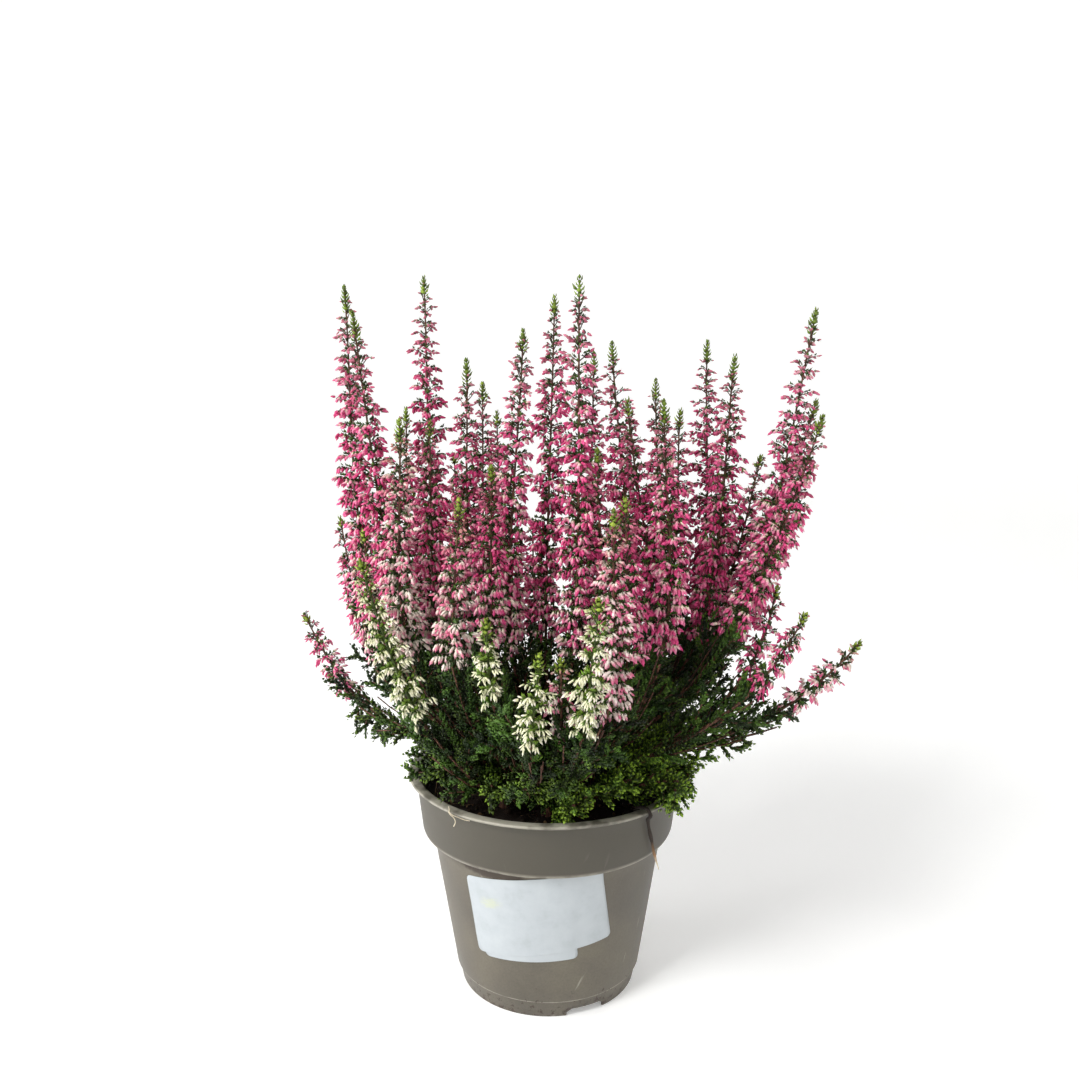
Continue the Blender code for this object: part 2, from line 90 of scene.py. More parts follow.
# %% Material tools
def srgb(code):
    """An sRGB hex colour as linear red, green, blue and alpha."""
    channels = np.array([int(code[i : i + 2], 16) for i in (0, 2, 4)]) / 255
    light = np.where(channels <= 0.04045, channels / 12.92, ((channels + 0.055) / 1.055) ** 2.4)
    return (*light.tolist(), 1.0)


def fill(tree, node, inputs):
    """Sets a node's inputs: a socket is linked to its input, and anything else is the input's value."""
    for name, value in inputs.items():
        if isinstance(value, bpy.types.NodeSocket):
            tree.links.new(value, node.inputs[name])
        else:
            node.inputs[name].default_value = value


def add(tree, kind, inputs=None, stops=None, out=None, **settings):
    """Adds a node with its settings, inputs and a ramp's stops, and returns the output that is used.

    That is the output named out, or else the one named Fac, or else the first that is switched on.
    """
    node = tree.nodes.new("ShaderNode" + kind)
    for name, value in settings.items():
        setattr(node, name, value)
    fill(tree, node, inputs or {})
    if stops:
        places = node.color_ramp.elements
        places.remove(places[1])
        places[0].position = stops[0][0]
        places[0].color = srgb(stops[0][1])
        for place, code in stops[1:]:
            places.new(place).color = srgb(code)
    on = {socket.name: socket for socket in reversed(node.outputs) if socket.enabled}
    return on[out or ("Fac" if "Fac" in on else list(on)[-1])]


def new_finish(name, roughness, ior=1.5):
    """A material, its node tree, its surface shader, and the position in millimetres."""
    material = bpy.data.materials.new(name)
    material.use_nodes = True
    tree = material.node_tree
    shader = tree.nodes["Principled BSDF"]
    fill(tree, shader, {"Roughness": roughness, "IOR": ior})
    place = add(tree, "TexCoord", out="Object")
    return material, tree, shader, add(tree, "VectorMath", {0: place, "Scale": 1 / MM}, operation="SCALE")


def lumps(size_mm):
    """Noise scale for lumps of a real size, when the position is in millimetres."""
    return 1.0 / size_mm


print("taupe, as linear light:", [round(v, 3) for v in srgb("7D796E")])

# %% [markdown]
# ## Floor and light
# The plain pale floor sweeps up into a plain wall all the way round, so no edge shows from any side. It
# is a profile turned about the upright axis, far wider than the plant. One large soft light stands
# high at the left front, as in the photograph, where the pot is lit from the left. A weaker one stands
# low at the left and a faint one behind, and the pale surroundings fill the rest.

# %% Floor
FLOOR_REACH = 1.6
WALL_REACH = 2.6
WALL_TOP = 2.4
FLOOR_STEPS = 96
FLOOR_GLOW = 0.25


def net_faces(rows, columns, wrap):
    """Two triangles for each square of a net of points. wrap joins the last column to the first."""
    across = columns if wrap else columns - 1
    row, column = np.meshgrid(np.arange(rows - 1), np.arange(across), indexing="ij")
    a = (row * columns + column).ravel()
    b = (row * columns + (column + 1) % columns).ravel()
    low = np.stack([a, b, b + columns], axis=1)
    high = np.stack([a, b + columns, a + columns], axis=1)
    return np.concatenate([low, high])


def turned_about_z(profile, steps):
    """Points (radius, height) turned about Z: x = r cos a, y = r sin a, z = height."""
    angle = np.linspace(0, 2 * np.pi, steps, endpoint=False)
    radius = profile[:, :1]
    x = radius * np.cos(angle)
    y = radius * np.sin(angle)
    z = np.broadcast_to(profile[:, 1:], x.shape)
    return np.stack([x, y, z], axis=-1)


def new_mesh(name, points, faces):
    """A smooth mesh of triangles, written as whole arrays, in metres."""
    mesh = bpy.data.meshes.new(name)
    mesh.vertices.add(len(points))
    mesh.vertices.foreach_set("co", np.asarray(points, np.float32).ravel())
    mesh.loops.add(faces.size)
    mesh.loops.foreach_set("vertex_index", np.asarray(faces, np.int32).ravel())
    mesh.polygons.add(len(faces))
    mesh.polygons.foreach_set("loop_start", np.arange(0, faces.size, 3, dtype=np.int32))
    mesh.polygons.foreach_set("use_smooth", np.ones(len(faces), bool))
    mesh.update(calc_edges=True)
    return mesh


curve = np.linspace(0, np.pi / 2, 24)[:, None]
bend = (WALL_REACH - FLOOR_REACH) * np.hstack([np.sin(curve), 1 - np.cos(curve)]) + [FLOOR_REACH, 0]
sweep = np.vstack([[[0.002, 0.0], [0.5, 0.0]], bend, [[WALL_REACH, WALL_TOP]]])
points = turned_about_z(sweep, FLOOR_STEPS)
faces = net_faces(len(sweep), FLOOR_STEPS, True)
mesh = new_mesh("floor", points.reshape(-1, 3), faces[:, ::-1])
floor = bpy.data.objects.new("floor", mesh)
scene.collection.objects.link(floor)
floor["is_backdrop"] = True

# Matt emulsion paint, nearly white: plain, with no gloss to catch the lights.
material, tree, shader, position = new_finish("matt_paint_white", 0.95)
fill(tree, shader, {"Base Color": srgb("F6F6F5"), "Specular IOR Level": 0.1})
fill(tree, shader, {"Emission Color": srgb("FFFFFF"), "Emission Strength": FLOOR_GLOW})
mesh.materials.append(material)
print("floor", round(2 * WALL_REACH, 1), "m across")

# %% Light


def soft_light(name, place, target, size, power):
    """A square lamp that faces its target and isn't seen itself."""
    lamp = bpy.data.lights.new(name, "AREA")
    lamp.size = size
    lamp.energy = power
    thing = bpy.data.objects.new(name, lamp)
    thing.location = place
    away = np.array(place) - np.array(target)
    tip = math.acos(away[2] / np.linalg.norm(away))
    thing.rotation_euler = (tip, 0.0, math.atan2(away[1], away[0]) + math.pi / 2)
    thing.visible_camera = False
    scene.collection.objects.link(thing)
    return thing


soft_light("key", (-1.0, -1.1, 1.5), (0.0, 0.0, 0.15), 0.6, 27.5)
soft_light("fill", (-1.5, -0.15, 0.35), (0.0, 0.0, 0.06), 0.8, 12.5)
soft_light("back", (0.2, 1.4, 1.5), (0.0, 0.0, 0.2), 1.2, 3.4)

sky = bpy.data.worlds.new("studio")
sky.use_nodes = True
glow = sky.node_tree.nodes["Background"]
fill(sky.node_tree, glow, {"Color": srgb("FFFFFF"), "Strength": 0.11})
scene.world = sky
print("three soft lamps and a pale surround")

# %% [markdown]
# ## Pieces from arrays
# Every piece of the plant is a stack of small closed shapes. A shell holds the points of one kind of
# shape, in millimetres, with its triangles, its material and four marks that the materials read:
# along, from 0 at a bud's or leaf's foot to 1 at its tip; chance, a random share for each copy; height,
# from 0 at the foot of a shoot to 1 at its top; and mood, how pale a bud is or how young a leaf.

# %% Mesh tools
MARKS = ("along", "chance", "height", "mood")


def unit(rows):
    """Rows scaled to length one."""
    return rows / np.linalg.norm(rows, axis=-1, keepdims=True)


def shell(points, faces, slot=0, **marks):
    """Points in millimetres and their triangles, with a material slot and the four marks."""
    full = {name: np.broadcast_to(marks.get(name, 0.0), len(points)) for name in MARKS}
    return {"points": points, "faces": faces, "slot": slot, "marks": full}


def stack_shapes(shapes):
    """Shapes (points, faces) as one: each one's faces count on from the points before it."""
    start = np.cumsum([0] + [len(points) for points, _ in shapes])
    faces = np.vstack([faces + low for (_, faces), low in zip(shapes, start)])
    return np.vstack([points for points, _ in shapes]), faces


def make_piece(name, shells, materials, nodes):
    """Joins shells into one object in metres, which replaces its CAD nodes and rides on the root."""
    points, faces = stack_shapes([(s["points"], s["faces"]) for s in shells])
    mesh = new_mesh(name, points * MM, faces)
    owner = np.concatenate([np.full(len(s["faces"]), s["slot"]) for s in shells])
    mesh.polygons.foreach_set("material_index", owner.astype(np.int32))
    for mark in MARKS:
        values = np.concatenate([s["marks"][mark] for s in shells]).astype(np.float32)
        mesh.attributes.new(mark, "FLOAT", "POINT").data.foreach_set("value", values)
    for material in materials:
        mesh.materials.append(material)
    piece = bpy.data.objects.new(name, mesh)
    scene.collection.objects.link(piece)
    settle(piece, nodes)
    return piece


def settle(piece, nodes):
    """The piece rides on the one body, and the CAD nodes that it stands for are hidden."""
    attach(piece, "root")
    if nodes:
        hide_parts(*nodes)


def tubes(rings, ends):
    """Closed tubes: rings (tubes, rows, columns, 3), and the two points (tubes, 2, 3) that close them.

    A ring's points run anticlockwise as seen from the tube's far end, so faces point outwards.
    """
    count, rows, columns, _ = rings.shape
    net = rows * columns
    points = np.concatenate([rings.reshape(count, net, 3), ends], axis=1)
    here = np.arange(columns)
    after = (here + 1) % columns
    foot = np.stack([np.full(columns, net), after, here], axis=1)
    head = np.stack([np.full(columns, net + 1), here, after], axis=1)
    head[:, 1:] += net - columns
    faces = np.concatenate([net_faces(rows, columns, True), foot, head])
    shift = np.arange(count)[:, None, None] * (net + 2)
    return points.reshape(-1, 3), (faces + shift).reshape(-1, 3)


def copies(points, faces, places, axes):
    """Copies of a small shape. axes (copies, 3, 3) holds each copy's own three axes, as rows."""
    moved = np.einsum("pk,nkj->npj", points, axes) + places[:, None, :]
    shift = np.arange(len(places))[:, None, None] * len(points)
    return moved.reshape(-1, 3), (faces + shift).reshape(-1, 3)


def shell_of(shape, places, axes, slot, **marks):
    """A shell of copies of a small shape (points, faces). Each mark has a value for each copy."""
    count, size = len(places), len(shape[0])
    marks = {name: np.repeat(np.broadcast_to(v, count), size) for name, v in marks.items()}
    return shell(*copies(*shape, places, axes), slot, along=np.tile(shape[0][:, 2], count), **marks)


def ripples(points, size, seed, waves=28):
    """Smooth noise of about -1 to 1: plane waves in random directions, about size long, summed."""
    rng = np.random.default_rng(seed)
    direction = unit(rng.normal(size=(waves, 3)))
    length = size * rng.uniform(0.7, 1.6, waves)
    phase = rng.uniform(0, 2 * np.pi, waves)
    turns = points @ (direction / length[:, None]).T * 2 * np.pi
    return np.cos(turns + phase).sum(axis=-1) * math.sqrt(1 / waves)


print("marks on every piece:", ", ".join(MARKS))

# %% [markdown]
# ## The pot
# Nursery pots are injection moulded in polypropylene, about a millimetre thick: a tapered body on a
# foot ring, a ledge where a wider band starts, and a rolled lip. A lathe is the natural tool. The CAD's
# corners are rounded here as a mould rounds them, each corner replaced by a short curve. The thin wall
# is never quite round, so a slow ripple moves it by a few tenths of a millimetre.

# %% Pot surface
POT_HEIGHT = 102.1
LEDGE = 75.4
BODY_FOOT = (43.7, 8.6)
BODY_HEAD = (53.8, 75.2)
POT_CORNERS = (
    (4.0, 6.0, 0.1),
    (40.4, 6.0, 0.6),
    (39.8, 0.0, 0.3),
    (41.0, 0.0, 0.5),
    (42.6, 8.3, 0.15),
    (43.5, 8.45, 0.2),
    (53.8, 75.2, 0.25),
    (57.8, 75.4, 0.6),
    (58.5, 76.9, 0.8),
    (61.2, 99.9, 0.5),
    (64.4, 100.5, 0.35),
    (65.0, 101.2, 0.35),
    (64.7, 102.1, 0.4),
    (60.4, 102.1, 0.6),
    (60.0, 100.4, 0.6),
    (57.2, 77.2, 0.6),
    (52.7, 76.6, 0.6),
    (42.3, 7.5, 1.0),
    (4.0, 7.5, 0.1),
)
POT_STEPS = 144


def rounded(corners, steps):
    """A closed outline with each corner (x, y, reach) replaced by a curve of steps points.

    The curve is (1-t)^2 A + 2t(1-t) corner + t^2 B, with A and B at reach along the two sides.
    """
    corners = np.array(corners)
    spot = corners[:, :2]
    before = spot + corners[:, 2:] * unit(np.roll(spot, 1, axis=0) - spot)
    after = spot + corners[:, 2:] * unit(np.roll(spot, -1, axis=0) - spot)
    t = np.linspace(0, 1, steps)[None, :, None]
    arc = (1 - t) ** 2 * before[:, None] + 2 * t * (1 - t) * spot[:, None] + t**2 * after[:, None]
    return arc.reshape(-1, 2)


def spread(outline, step):
    """A closed outline with long sides divided into parts no longer than step."""
    ahead = np.roll(outline, -1, axis=0)
    parts = np.maximum(1, np.ceil(np.linalg.norm(ahead - outline, axis=1) / step)).astype(int)
    index = np.repeat(np.arange(len(outline)), parts)
    share = (np.arange(parts.sum()) - np.repeat(np.cumsum(parts) - parts, parts)) / parts[index]
    return outline[index] + share[:, None] * (ahead - outline)[index]


def wall_ripple(points):
    """How far the thin wall moves in or out: a slow ripple that dies away at the foot."""
    height = np.clip(points[..., 2] / POT_HEIGHT, 0, 1)
    return 0.45 * height**1.5 * ripples(points, 75.0, 11)


pot_outline = spread(rounded(POT_CORNERS, 3), 8.0)
pot_net = turned_about_z(pot_outline, POT_STEPS)
flat = pot_net * [1, 1, 0]
pot_net = pot_net + unit(flat) * wall_ripple(pot_net)[..., None]
lip = np.clip((pot_net[..., 2] - 99) / 3, 0, 1)
pot_net[..., 2] += lip * (0.22 * ripples(pot_net, 34.0, 12) - 0.25)
rows = len(pot_outline)
faces = net_faces(rows, POT_STEPS, True)
wrapped = net_faces(2, POT_STEPS, True)
wrapped = np.where(wrapped >= POT_STEPS, wrapped - POT_STEPS, wrapped + (rows - 1) * POT_STEPS)
pot_points = pot_net.reshape(-1, 3)
pot_faces = np.concatenate([faces, wrapped])
print("pot:", rows, "points in the outline,", len(pot_faces), "triangles before the cuts")

# %% [markdown]
# Six round holes in the floor, round the one that the profile leaves in the middle, let water out, and
# three shallow notches in the foot ring let it run away. Both are cuts, so one Boolean modifier makes
# them. The notches' upper corners slope, as a mould leaves them.

# %% Pot cuts
DRAIN_HOLES = 6
DRAIN_RADIUS = 4.0
DRAIN_CIRCLE = 26.0
NOTCHES = 3
NOTCH_WIDTH = 18.0
NOTCH_HEIGHT = 3.6
FIRST_NOTCH = -66.0
SLOPE = (2.2, 1.6)
NOTCH_REACH = (37.0, 46.0)
HOLE_ENDS = ((0.0, 0.0, 3.0), (0.0, 0.0, 10.0))


def link_mesh(name, points, faces):
    """A new object, its mesh given in millimetres."""
    thing = bpy.data.objects.new(name, new_mesh(name, points * MM, faces))
    scene.collection.objects.link(thing)
    return thing


def apply_modifiers(thing):
    """Replaces the object's mesh with its evaluated one."""
    graph = bpy.context.evaluated_depsgraph_get()
    mesh = bpy.data.meshes.new_from_object(thing.evaluated_get(graph))
    thing.modifiers.clear()
    thing.data = mesh


def prism(outline, low, high):
    """A closed prism on an outline (points, 3), from its low offset to its high one."""
    rings = np.stack([outline + low, outline + high])[None]
    return tubes(rings, rings.mean(axis=2))


around = np.linspace(0, 2 * np.pi, 24, endpoint=False)
circle = np.stack([np.cos(around), np.sin(around), 0 * around], axis=1)
cuts = []
for index in range(DRAIN_HOLES):
    angle = 2 * math.pi * index / DRAIN_HOLES
    middle = DRAIN_CIRCLE * np.array([math.cos(angle), math.sin(angle), 0.0])
    cuts.append(prism(DRAIN_RADIUS * circle + middle, *np.array(HOLE_ENDS)))
for index in range(NOTCHES):
    angle = math.radians(FIRST_NOTCH) + 2 * math.pi * index / NOTCHES
    out = np.array([math.cos(angle), math.sin(angle), 0.0])
    side = np.array([-math.sin(angle), math.cos(angle), 0.0])
    half = NOTCH_WIDTH / 2
    inner, shoulder = half - SLOPE[0], NOTCH_HEIGHT - SLOPE[1]
    across = np.array([-half, -half, -inner, inner, half, half])[:, None]
    up = np.array([-5.0, shoulder, NOTCH_HEIGHT, NOTCH_HEIGHT, shoulder, -5.0])
    outline = across * side + up[:, None] * np.array([0, 0, 1.0])
    cuts.append(prism(outline[::-1], NOTCH_REACH[0] * out, NOTCH_REACH[1] * out))

pot = link_mesh("pot_shell", pot_points, pot_faces)
cutter = link_mesh("pot_cutter", *stack_shapes(cuts))
cut = pot.modifiers.new("cut", "BOOLEAN")
cut.operation = "DIFFERENCE"
cut.solver = "EXACT"
cut.object = cutter
apply_modifiers(pot)
bpy.data.objects.remove(cutter)
print("pot:", len(pot.data.polygons), "faces after the cuts")

# %% [markdown]
# The plastic is polypropylene with recycled flake in it, taupe grey and satin. It gives broad soft
# highlights. Handling has left pale hairline scuffs; the mould's edges at the lip, the ledge and the
# foot are rubbed pale, and these pale bands are partly painted highlight. Dried peat clings near the
# foot. Under the ledge a dark patch is partly peat and partly painted shadow, and the band over the
# ledge has painted shade.

# %% Pot finish
material, tree, shader, position = new_finish("moulded_polypropylene_taupe", 0.5)
cloud_size = {"Scale": lumps(38.0), "Detail": 4.0, "Roughness": 0.55}
cloud = add(tree, "TexNoise", {"Vector": position} | cloud_size)
tone = add(tree, "ValToRGB", {"Fac": cloud}, stops=[(0.3, "4E493F"), (0.5, "5B554A"), (0.72, "686254")])
fleck = add(tree, "TexNoise", {"Vector": position, "Scale": lumps(0.9), "Detail": 2.0})
fleck_share = add(tree, "ValToRGB", {"Fac": fleck}, stops=[(0.3, "000000"), (0.7, "FFFFFF")])
flecked = add(tree, "Mix", {0: 0.10, 6: tone, 7: fleck_share}, data_type="RGBA", blend_type="SOFT_LIGHT")

# Scuffs: noise stretched along the wall, of which only the crests show.
stretch = add(
    tree, "Mapping", {"Vector": position, "Rotation": (0.5, 0.2, 0.9), "Scale": (0.06, 1.0, 0.05)}
)
scuff = add(tree, "TexNoise", {"Vector": stretch, "Scale": lumps(1.4), "Detail": 3.0, "Roughness": 0.6})
scuff_line = add(
    tree, "ValToRGB", {"Fac": scuff}, stops=[(0.66, "000000"), (0.72, "FFFFFF"), (0.8, "FFFFFF")]
)
patchy = add(tree, "TexNoise", {"Vector": position, "Scale": lumps(21.0)})
patch_share = add(tree, "ValToRGB", {"Fac": patchy}, stops=[(0.48, "000000"), (0.66, "FFFFFF")])
scuff_share = add(
    tree, "Mix", {0: 1.0, 6: scuff_line, 7: patch_share}, data_type="RGBA", blend_type="MULTIPLY"
)
scuff_part = add(tree, "Math", {0: scuff_share, 1: 0.5}, operation="MULTIPLY")
scuffed = add(tree, "Mix", {0: scuff_part, 6: flecked, 7: srgb("B9B5A9")}, data_type="RGBA")

# Painted shade: the band over the ledge is painted darker than the body, for the shadow that the foliage
# above casts on it.
height = add(tree, "SeparateXYZ", {"Vector": position}, out="Z")
band_shade_share = add(tree, "MapRange", {"Value": height, "From Min": 76.4, "From Max": 77.6, "To Max": 0.85})
band_shaded = add(tree, "Mix", {0: band_shade_share, 6: scuffed, 7: srgb("423E34")}, data_type="RGBA")

# Rubbed edges and painted highlight: narrow pale bands by height at the foot line, the ledge and the lip,
# broken by noise. They are partly wear and partly a painted highlight along those edges.
FOOT_RUB_AND_HIGHLIGHT = [(0.0, "000000"), (0.072, "000000"), (0.0765, "FFFFFF"), (0.081, "000000")]
LEDGE_RUB_AND_HIGHLIGHT = [(0.683, "000000"), (0.690, "B0B0B0"), (0.702, "000000")]
LIP_RUB_AND_HIGHLIGHT = [(0.900, "000000"), (0.914, "A0A0A0"), (0.921, "D0D0D0"), (0.930, "E0E0E0")]
up_pot = add(tree, "MapRange", {"Value": height, "From Min": 0.0, "From Max": 110.0})
rub_and_highlight = add(tree, "ValToRGB", {"Fac": up_pot}, stops=FOOT_RUB_AND_HIGHLIGHT + LEDGE_RUB_AND_HIGHLIGHT + LIP_RUB_AND_HIGHLIGHT)
rub_and_highlight_noise = add(tree, "TexNoise", {"Vector": position, "Scale": lumps(7.0), "Detail": 3.0})
rub_and_highlight_break = add(tree, "ValToRGB", {"Fac": rub_and_highlight_noise}, stops=[(0.36, "8A8A8A"), (0.56, "FFFFFF")])
rub_and_highlight_part = add(tree, "Mix", {0: 1.0, 6: rub_and_highlight, 7: rub_and_highlight_break}, data_type="RGBA", blend_type="MULTIPLY")
rub_and_highlight_share = add(tree, "Math", {0: rub_and_highlight_part, 1: 0.95}, operation="MULTIPLY")
rubbed_and_highlit = add(tree, "Mix", {0: rub_and_highlight_share, 6: band_shaded, 7: srgb("BDB8A9")}, data_type="RGBA")

# Dried peat: brown specks, most of them within a centimetre of the ground.
speck = add(tree, "TexNoise", {"Vector": position, "Scale": lumps(2.2), "Detail": 5.0, "Roughness": 0.7})
low_down = add(
    tree, "MapRange", {"Value": height, "From Min": 2.0, "From Max": 24.0, "To Min": 0.54, "To Max": 0.73}
)
specks = add(tree, "Math", {0: speck, 1: low_down}, operation="SUBTRACT")
speck_share = add(tree, "Math", {0: specks, 1: 26.0}, operation="MULTIPLY", use_clamp=True)
dirty = add(tree, "Mix", {0: speck_share, 6: rubbed_and_highlit, 7: srgb("3A2C20")}, data_type="RGBA")

# A dark patch under the ledge, over the left end of the stickers. It is partly a crust of damp peat and
# partly painted shadow of the ledge: inside an ellipsoid, which the shift brings from x -25 and z 73 to the
# middle.
PEAT_AND_SHADOW_SHIFT = np.array([25.0, 0.0, -73.0])
PEAT_AND_SHADOW_REACH = np.array([20.0, 200.0, 4.6])
peat_and_shadow_place = {"Location": PEAT_AND_SHADOW_SHIFT / PEAT_AND_SHADOW_REACH, "Scale": 1 / PEAT_AND_SHADOW_REACH}
peat_and_shadow_box = add(tree, "Mapping", {"Vector": position} | peat_and_shadow_place)
peat_and_shadow_edge = add(tree, "TexGradient", {"Vector": peat_and_shadow_box}, gradient_type="SPHERICAL")
peat_and_shadow_share = add(tree, "Math", {0: peat_and_shadow_edge, 1: speck}, operation="MULTIPLY")
peat_and_shadow_part = add(
    tree, "MapRange", {"Value": peat_and_shadow_share, "From Min": 0.08, "From Max": 0.2, "To Max": 0.85}
)
peat_and_shadow_mixed = add(tree, "Mix", {0: peat_and_shadow_part, 6: dirty, 7: srgb("33261C")}, data_type="RGBA")
gloss = add(
    tree, "MapRange", {"Value": cloud, "From Min": 0.3, "From Max": 0.7, "To Min": 0.42, "To Max": 0.56}
)
grain = add(tree, "Bump", {"Height": fleck, "Strength": 0.25, "Distance": 0.05 * MM})
scratch = add(tree, "Bump", {"Height": scuff_share, "Normal": grain, "Strength": 0.4, "Distance": 0.1 * MM})
fill(tree, shader, {"Base Color": peat_and_shadow_mixed, "Roughness": gloss, "Normal": scratch})
pot.data.materials.clear()
pot.data.materials.append(material)
settle(pot, ["pot"])
print("pot finish:", len(tree.nodes), "nodes")

# %% [markdown]
# ## The stickers
# Two blank paper labels, one over the other. Each is a flat rectangle with rounded corners bent round
# the cone of the body, so it is a function of two numbers: how far along the wall, and how high. The
# upper one is turned nine degrees, and its top edge is tucked in under the ledge, where it has buckled.
# It rises a little where the lower sticker lies under it.

# %% Sticker surfaces
UPPER = {"centre": (-5.3, 53.4), "size": (63.5, 38.5), "turn": 9.1, "lift": 0.42}
LOWER = {"centre": (-9.6, 44.3), "size": (43.0, 28.5), "turn": 4.7, "lift": 0.22}
CORNER = 2.2
PAPER = 0.16


def body_radius(height):
    """Outer radius of the pot's tapered body at a height."""
    (foot_r, foot_z), (head_r, head_z) = BODY_FOOT, BODY_HEAD
    return foot_r + (head_r - foot_r) * (height - foot_z) / (head_z - foot_z)


def inside(spec, x, z):
    """From 0 outside a sticker to 1 inside it, over about a millimetre at its edge."""
    turn = math.radians(spec["turn"])
    dx = x - spec["centre"][0]
    dz = z - spec["centre"][1]
    u = np.abs(dx * math.cos(turn) + dz * math.sin(turn)) - spec["size"][0] / 2
    v = np.abs(dz * math.cos(turn) - dx * math.sin(turn)) - spec["size"][1] / 2
    return np.clip(-np.maximum(u, v) / 1.2, 0, 1)


def sticker_points(spec, columns, rows, over=None):
    """A turned rectangle with round corners, unrolled along the wall: x along it, z up it.

    Near the top and the bottom the rows are shorter by r - sqrt(r^2 - d^2), which rounds the corners.
    """
    width, height = spec["size"]
    turn = math.radians(spec["turn"])
    v = height / 2 * np.sin(np.linspace(-np.pi / 2, np.pi / 2, rows))[:, None]
    past = np.clip(np.abs(v) - (height / 2 - CORNER), 0, CORNER)
    inset = CORNER - np.sqrt(CORNER**2 - past**2)
    u = np.linspace(-1, 1, columns)[None, :] * (width / 2 - inset)
    v = v + 0 * u
    x = spec["centre"][0] + u * math.cos(turn) - v * math.sin(turn)
    z = spec["centre"][1] + u * math.sin(turn) + v * math.cos(turn)
    sheet = np.stack([x, z, 0 * x], axis=-1)
    buckle = np.clip((z - LEDGE + 7) / 6, 0, 1)
    lift = spec["lift"] + 0.05 * ripples(sheet, 16.0, 31)
    lift = lift + buckle * (0.5 + 0.5 * ripples(sheet, 12.0, 32)).clip(0, 1.2) * 0.55
    if over is not None:
        lift = lift - 0.2 * (1 - inside(over, x, z))
    torn = LEDGE - 1.0 + 0.5 * ripples(sheet * [1, 0, 0], 11.0, 33)
    z = np.minimum(z, torn - 0.04 * (height / 2 - v))
    radius = body_radius(z) + lift
    angle = x / body_radius(z) - np.pi / 2
    flat = np.stack([radius * np.cos(angle), radius * np.sin(angle), z], axis=-1)
    return flat + unit(flat * [1, 1, 0]) * wall_ripple(flat)[..., None]


def make_sticker(name, spec, cells, material, node, over=None):
    """A sheet of paper from its surface, given its thickness by a Solidify modifier."""
    columns, rows = cells
    points = sticker_points(spec, columns, rows, over).reshape(-1, 3)
    sticker = link_mesh(name, points, net_faces(rows, columns, False))
    paper = sticker.modifiers.new("paper", "SOLIDIFY")
    paper.thickness = PAPER * MM
    paper.offset = -1.0
    sticker.data.materials.append(material)
    settle(sticker, [node])
    return sticker


# %% [markdown]
# Sticker paper is white, a little blue from its brightener, and coated, so it is smoother than plain
# paper. Damp has left faint cockles in it. A yellowish smear of old glue shows at its upper left.

# %% Sticker finish
material, tree, shader, position = new_finish("coated_label_paper", 0.38)
grime = add(tree, "TexNoise", {"Vector": position, "Scale": lumps(9.0), "Detail": 6.0, "Roughness": 0.65})
paper_tone = add(
    tree, "ValToRGB", {"Fac": grime}, stops=[(0.28, "A6ACAF"), (0.45, "AEB4B8"), (0.7, "B4BABD")]
)
smear_place = {"Location": (17.0, 47.0, -60.2), "Rotation": (0.0, math.radians(8), 0.0)}
from_smear = add(tree, "Mapping", {"Vector": position} | smear_place)
smear_box = add(tree, "Mapping", {"Vector": from_smear, "Scale": (1 / 10.0, 1 / 60.0, 1 / 5.6)})
smear_edge = add(tree, "TexGradient", {"Vector": smear_box}, gradient_type="SPHERICAL")
smear_strokes = add(tree, "Mapping", {"Vector": from_smear, "Scale": (0.22, 0.2, 1.0)})
smear_size = {"Scale": lumps(1.1), "Detail": 3.0, "Roughness": 0.6, "Distortion": 0.8}
smear_break = add(tree, "TexNoise", {"Vector": smear_strokes} | smear_size)
smear_mix = add(tree, "Math", {0: smear_edge, 1: smear_break}, operation="MULTIPLY")
smear_share = add(tree, "MapRange", {"Value": smear_mix, "From Min": 0.22, "From Max": 0.42, "To Max": 0.8})
smeared = add(tree, "Mix", {0: smear_share, 6: paper_tone, 7: srgb("B8BDA6")}, data_type="RGBA")
cockle = add(tree, "TexNoise", {"Vector": position, "Scale": lumps(6.0), "Detail": 2.0})
paper_bump = add(tree, "Bump", {"Height": cockle, "Strength": 0.35, "Distance": 0.25 * MM})
fill(tree, shader, {"Base Color": smeared, "Normal": paper_bump})
make_sticker("label_lower", LOWER, (30, 18), material, "sticker_lower")
make_sticker("label_upper", UPPER, (48, 30), material, "sticker_upper", LOWER)
print("two blank stickers,", UPPER["size"], "and", LOWER["size"], "mm")

# %% [markdown]
# ## The soil
# Peat compost is a crumbly, fibrous dark brown. Its surface is a polar net whose height adds slow waves
# and ripples of two sizes. Crumbs and short fibres lie on it. Most of it is in the shade of the plant,
# so a few hundred crumbs and under a hundred fibres are enough.

# %% Soil surface
SOIL_TOP = 90.0
SOIL_EDGE = 58.2
SOIL_SIDE = ((57.0, 77.6), (52.4, 77.2), (42.0, 7.8))


def soil_height(x, y):
    """Height of the soil: two crossed waves as in the CAD, with finer crumbs on top."""
    broad = np.sin(0.31 * x + 1.0) * np.cos(0.27 * y)
    fine = 0.6 * np.sin(0.63 * x - 0.41 * y + 2.0)
    fade = np.clip(1 - (np.hypot(x, y) / SOIL_EDGE) ** 4, 0, 1)
    spot = np.stack([x, y, 0 * x], axis=-1)
    crumbs = 0.45 * ripples(spot, 5.0, 41) + 0.25 * ripples(spot, 2.2, 42)
    return SOIL_TOP + fade * (1.3 * (broad + fine) + crumbs) - 1.0 * (1 - fade)


